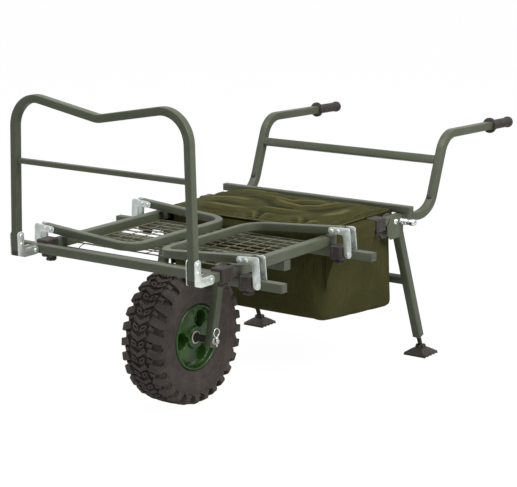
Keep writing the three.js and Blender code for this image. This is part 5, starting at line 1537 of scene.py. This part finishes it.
def studio_floor():
    """A white floor that keeps the shadow but looks white to the camera, as the world does."""
    material = bpy.data.materials.new("studio_floor")
    material.use_nodes = True
    tree = material.node_tree
    tree.nodes.clear()
    diffuse = add_node(tree, "BsdfDiffuse", Color=(0.86, 0.86, 0.86, 1))
    glow = add_node(tree, "Emission", Color=(1, 1, 1, 1), Strength=1.05)
    path = add_node(tree, "LightPath")
    share = add_math(tree, "Math", "MULTIPLY", path.outputs["Is Camera Ray"], 0.93)
    mix = add_node(tree, "MixShader", Fac=share)
    fill(tree, mix.inputs[1], diffuse.outputs["BSDF"])
    fill(tree, mix.inputs[2], glow.outputs["Emission"])
    add_node(tree, "OutputMaterial", Surface=mix.outputs["Shader"])
    bpy.ops.mesh.primitive_plane_add(size=80, location=(0, 0, 0))
    floor = bpy.context.object
    floor.name = "studio_floor"
    floor.data.materials.append(material)


def studio_world(ambient):
    """White to the camera and in reflections, dim as a light."""
    world = bpy.data.worlds.new("studio")
    bpy.context.scene.world = world
    world.use_nodes = True
    tree = world.node_tree
    path = add_node(tree, "LightPath")
    seen = add_math(tree, "Math", "MAXIMUM", path.outputs["Is Camera Ray"], path.outputs["Is Glossy Ray"])
    strength = add_node(tree, "MapRange", To_Min=ambient, To_Max=1, Value=seen)
    background = tree.nodes["Background"]
    fill(tree, background.inputs["Color"], (1, 1, 1, 1))
    fill(tree, background.inputs["Strength"], strength.outputs["Result"])


def away_from_middle(azimuth, elevation):
    """The direction from the trolley's middle to a light or the camera, from angles in degrees."""
    a, e = math.radians(azimuth), math.radians(elevation)
    return Vector((math.sin(a) * math.cos(e), -math.cos(a) * math.cos(e), math.sin(e)))


def softbox(name, azimuth, elevation, distance, size, power):
    """An area light on a sphere round the trolley, aimed at its middle."""
    back = away_from_middle(azimuth, elevation)
    light = bpy.data.lights.new(name, "AREA")
    light.shape = "DISK"
    light.size = size
    light.energy = power
    lamp = bpy.data.objects.new(name, light)
    bpy.context.scene.collection.objects.link(lamp)
    lamp.location = CAMERA_TARGET + back * distance
    lamp.rotation_euler = back.to_track_quat("Z", "Y").to_euler()


studio_floor()
studio_world(0.26)
softbox("key", 84, 40, 3.6, 1.6, 84)
softbox("top", -38, 66, 3.4, 2.4, 56)

azimuth, roll = math.radians(CAMERA_AZIMUTH), math.radians(CAMERA_ROLL)
camera_back = away_from_middle(CAMERA_AZIMUTH, CAMERA_ELEVATION)
level_right = Vector((math.cos(azimuth), math.sin(azimuth), 0))
level_up = level_right.cross(-camera_back)
camera_right = level_right * math.cos(roll) + level_up * math.sin(roll)
camera_up = level_up * math.cos(roll) - level_right * math.sin(roll)
camera_data = bpy.data.cameras.new("camera")
camera_data.lens = CAMERA_LENS
camera_data.sensor_width = CAMERA_SENSOR
camera_data.clip_end = 200
camera = bpy.data.objects.new("camera", camera_data)
bpy.context.scene.collection.objects.link(camera)
turn = Matrix((camera_right, camera_up, camera_back)).transposed().to_4x4()
camera.matrix_world = Matrix.Translation(CAMERA_TARGET + camera_back * CAMERA_DISTANCE) @ turn
bpy.context.scene.camera = camera
bpy.context.scene.view_settings.view_transform = "Standard"
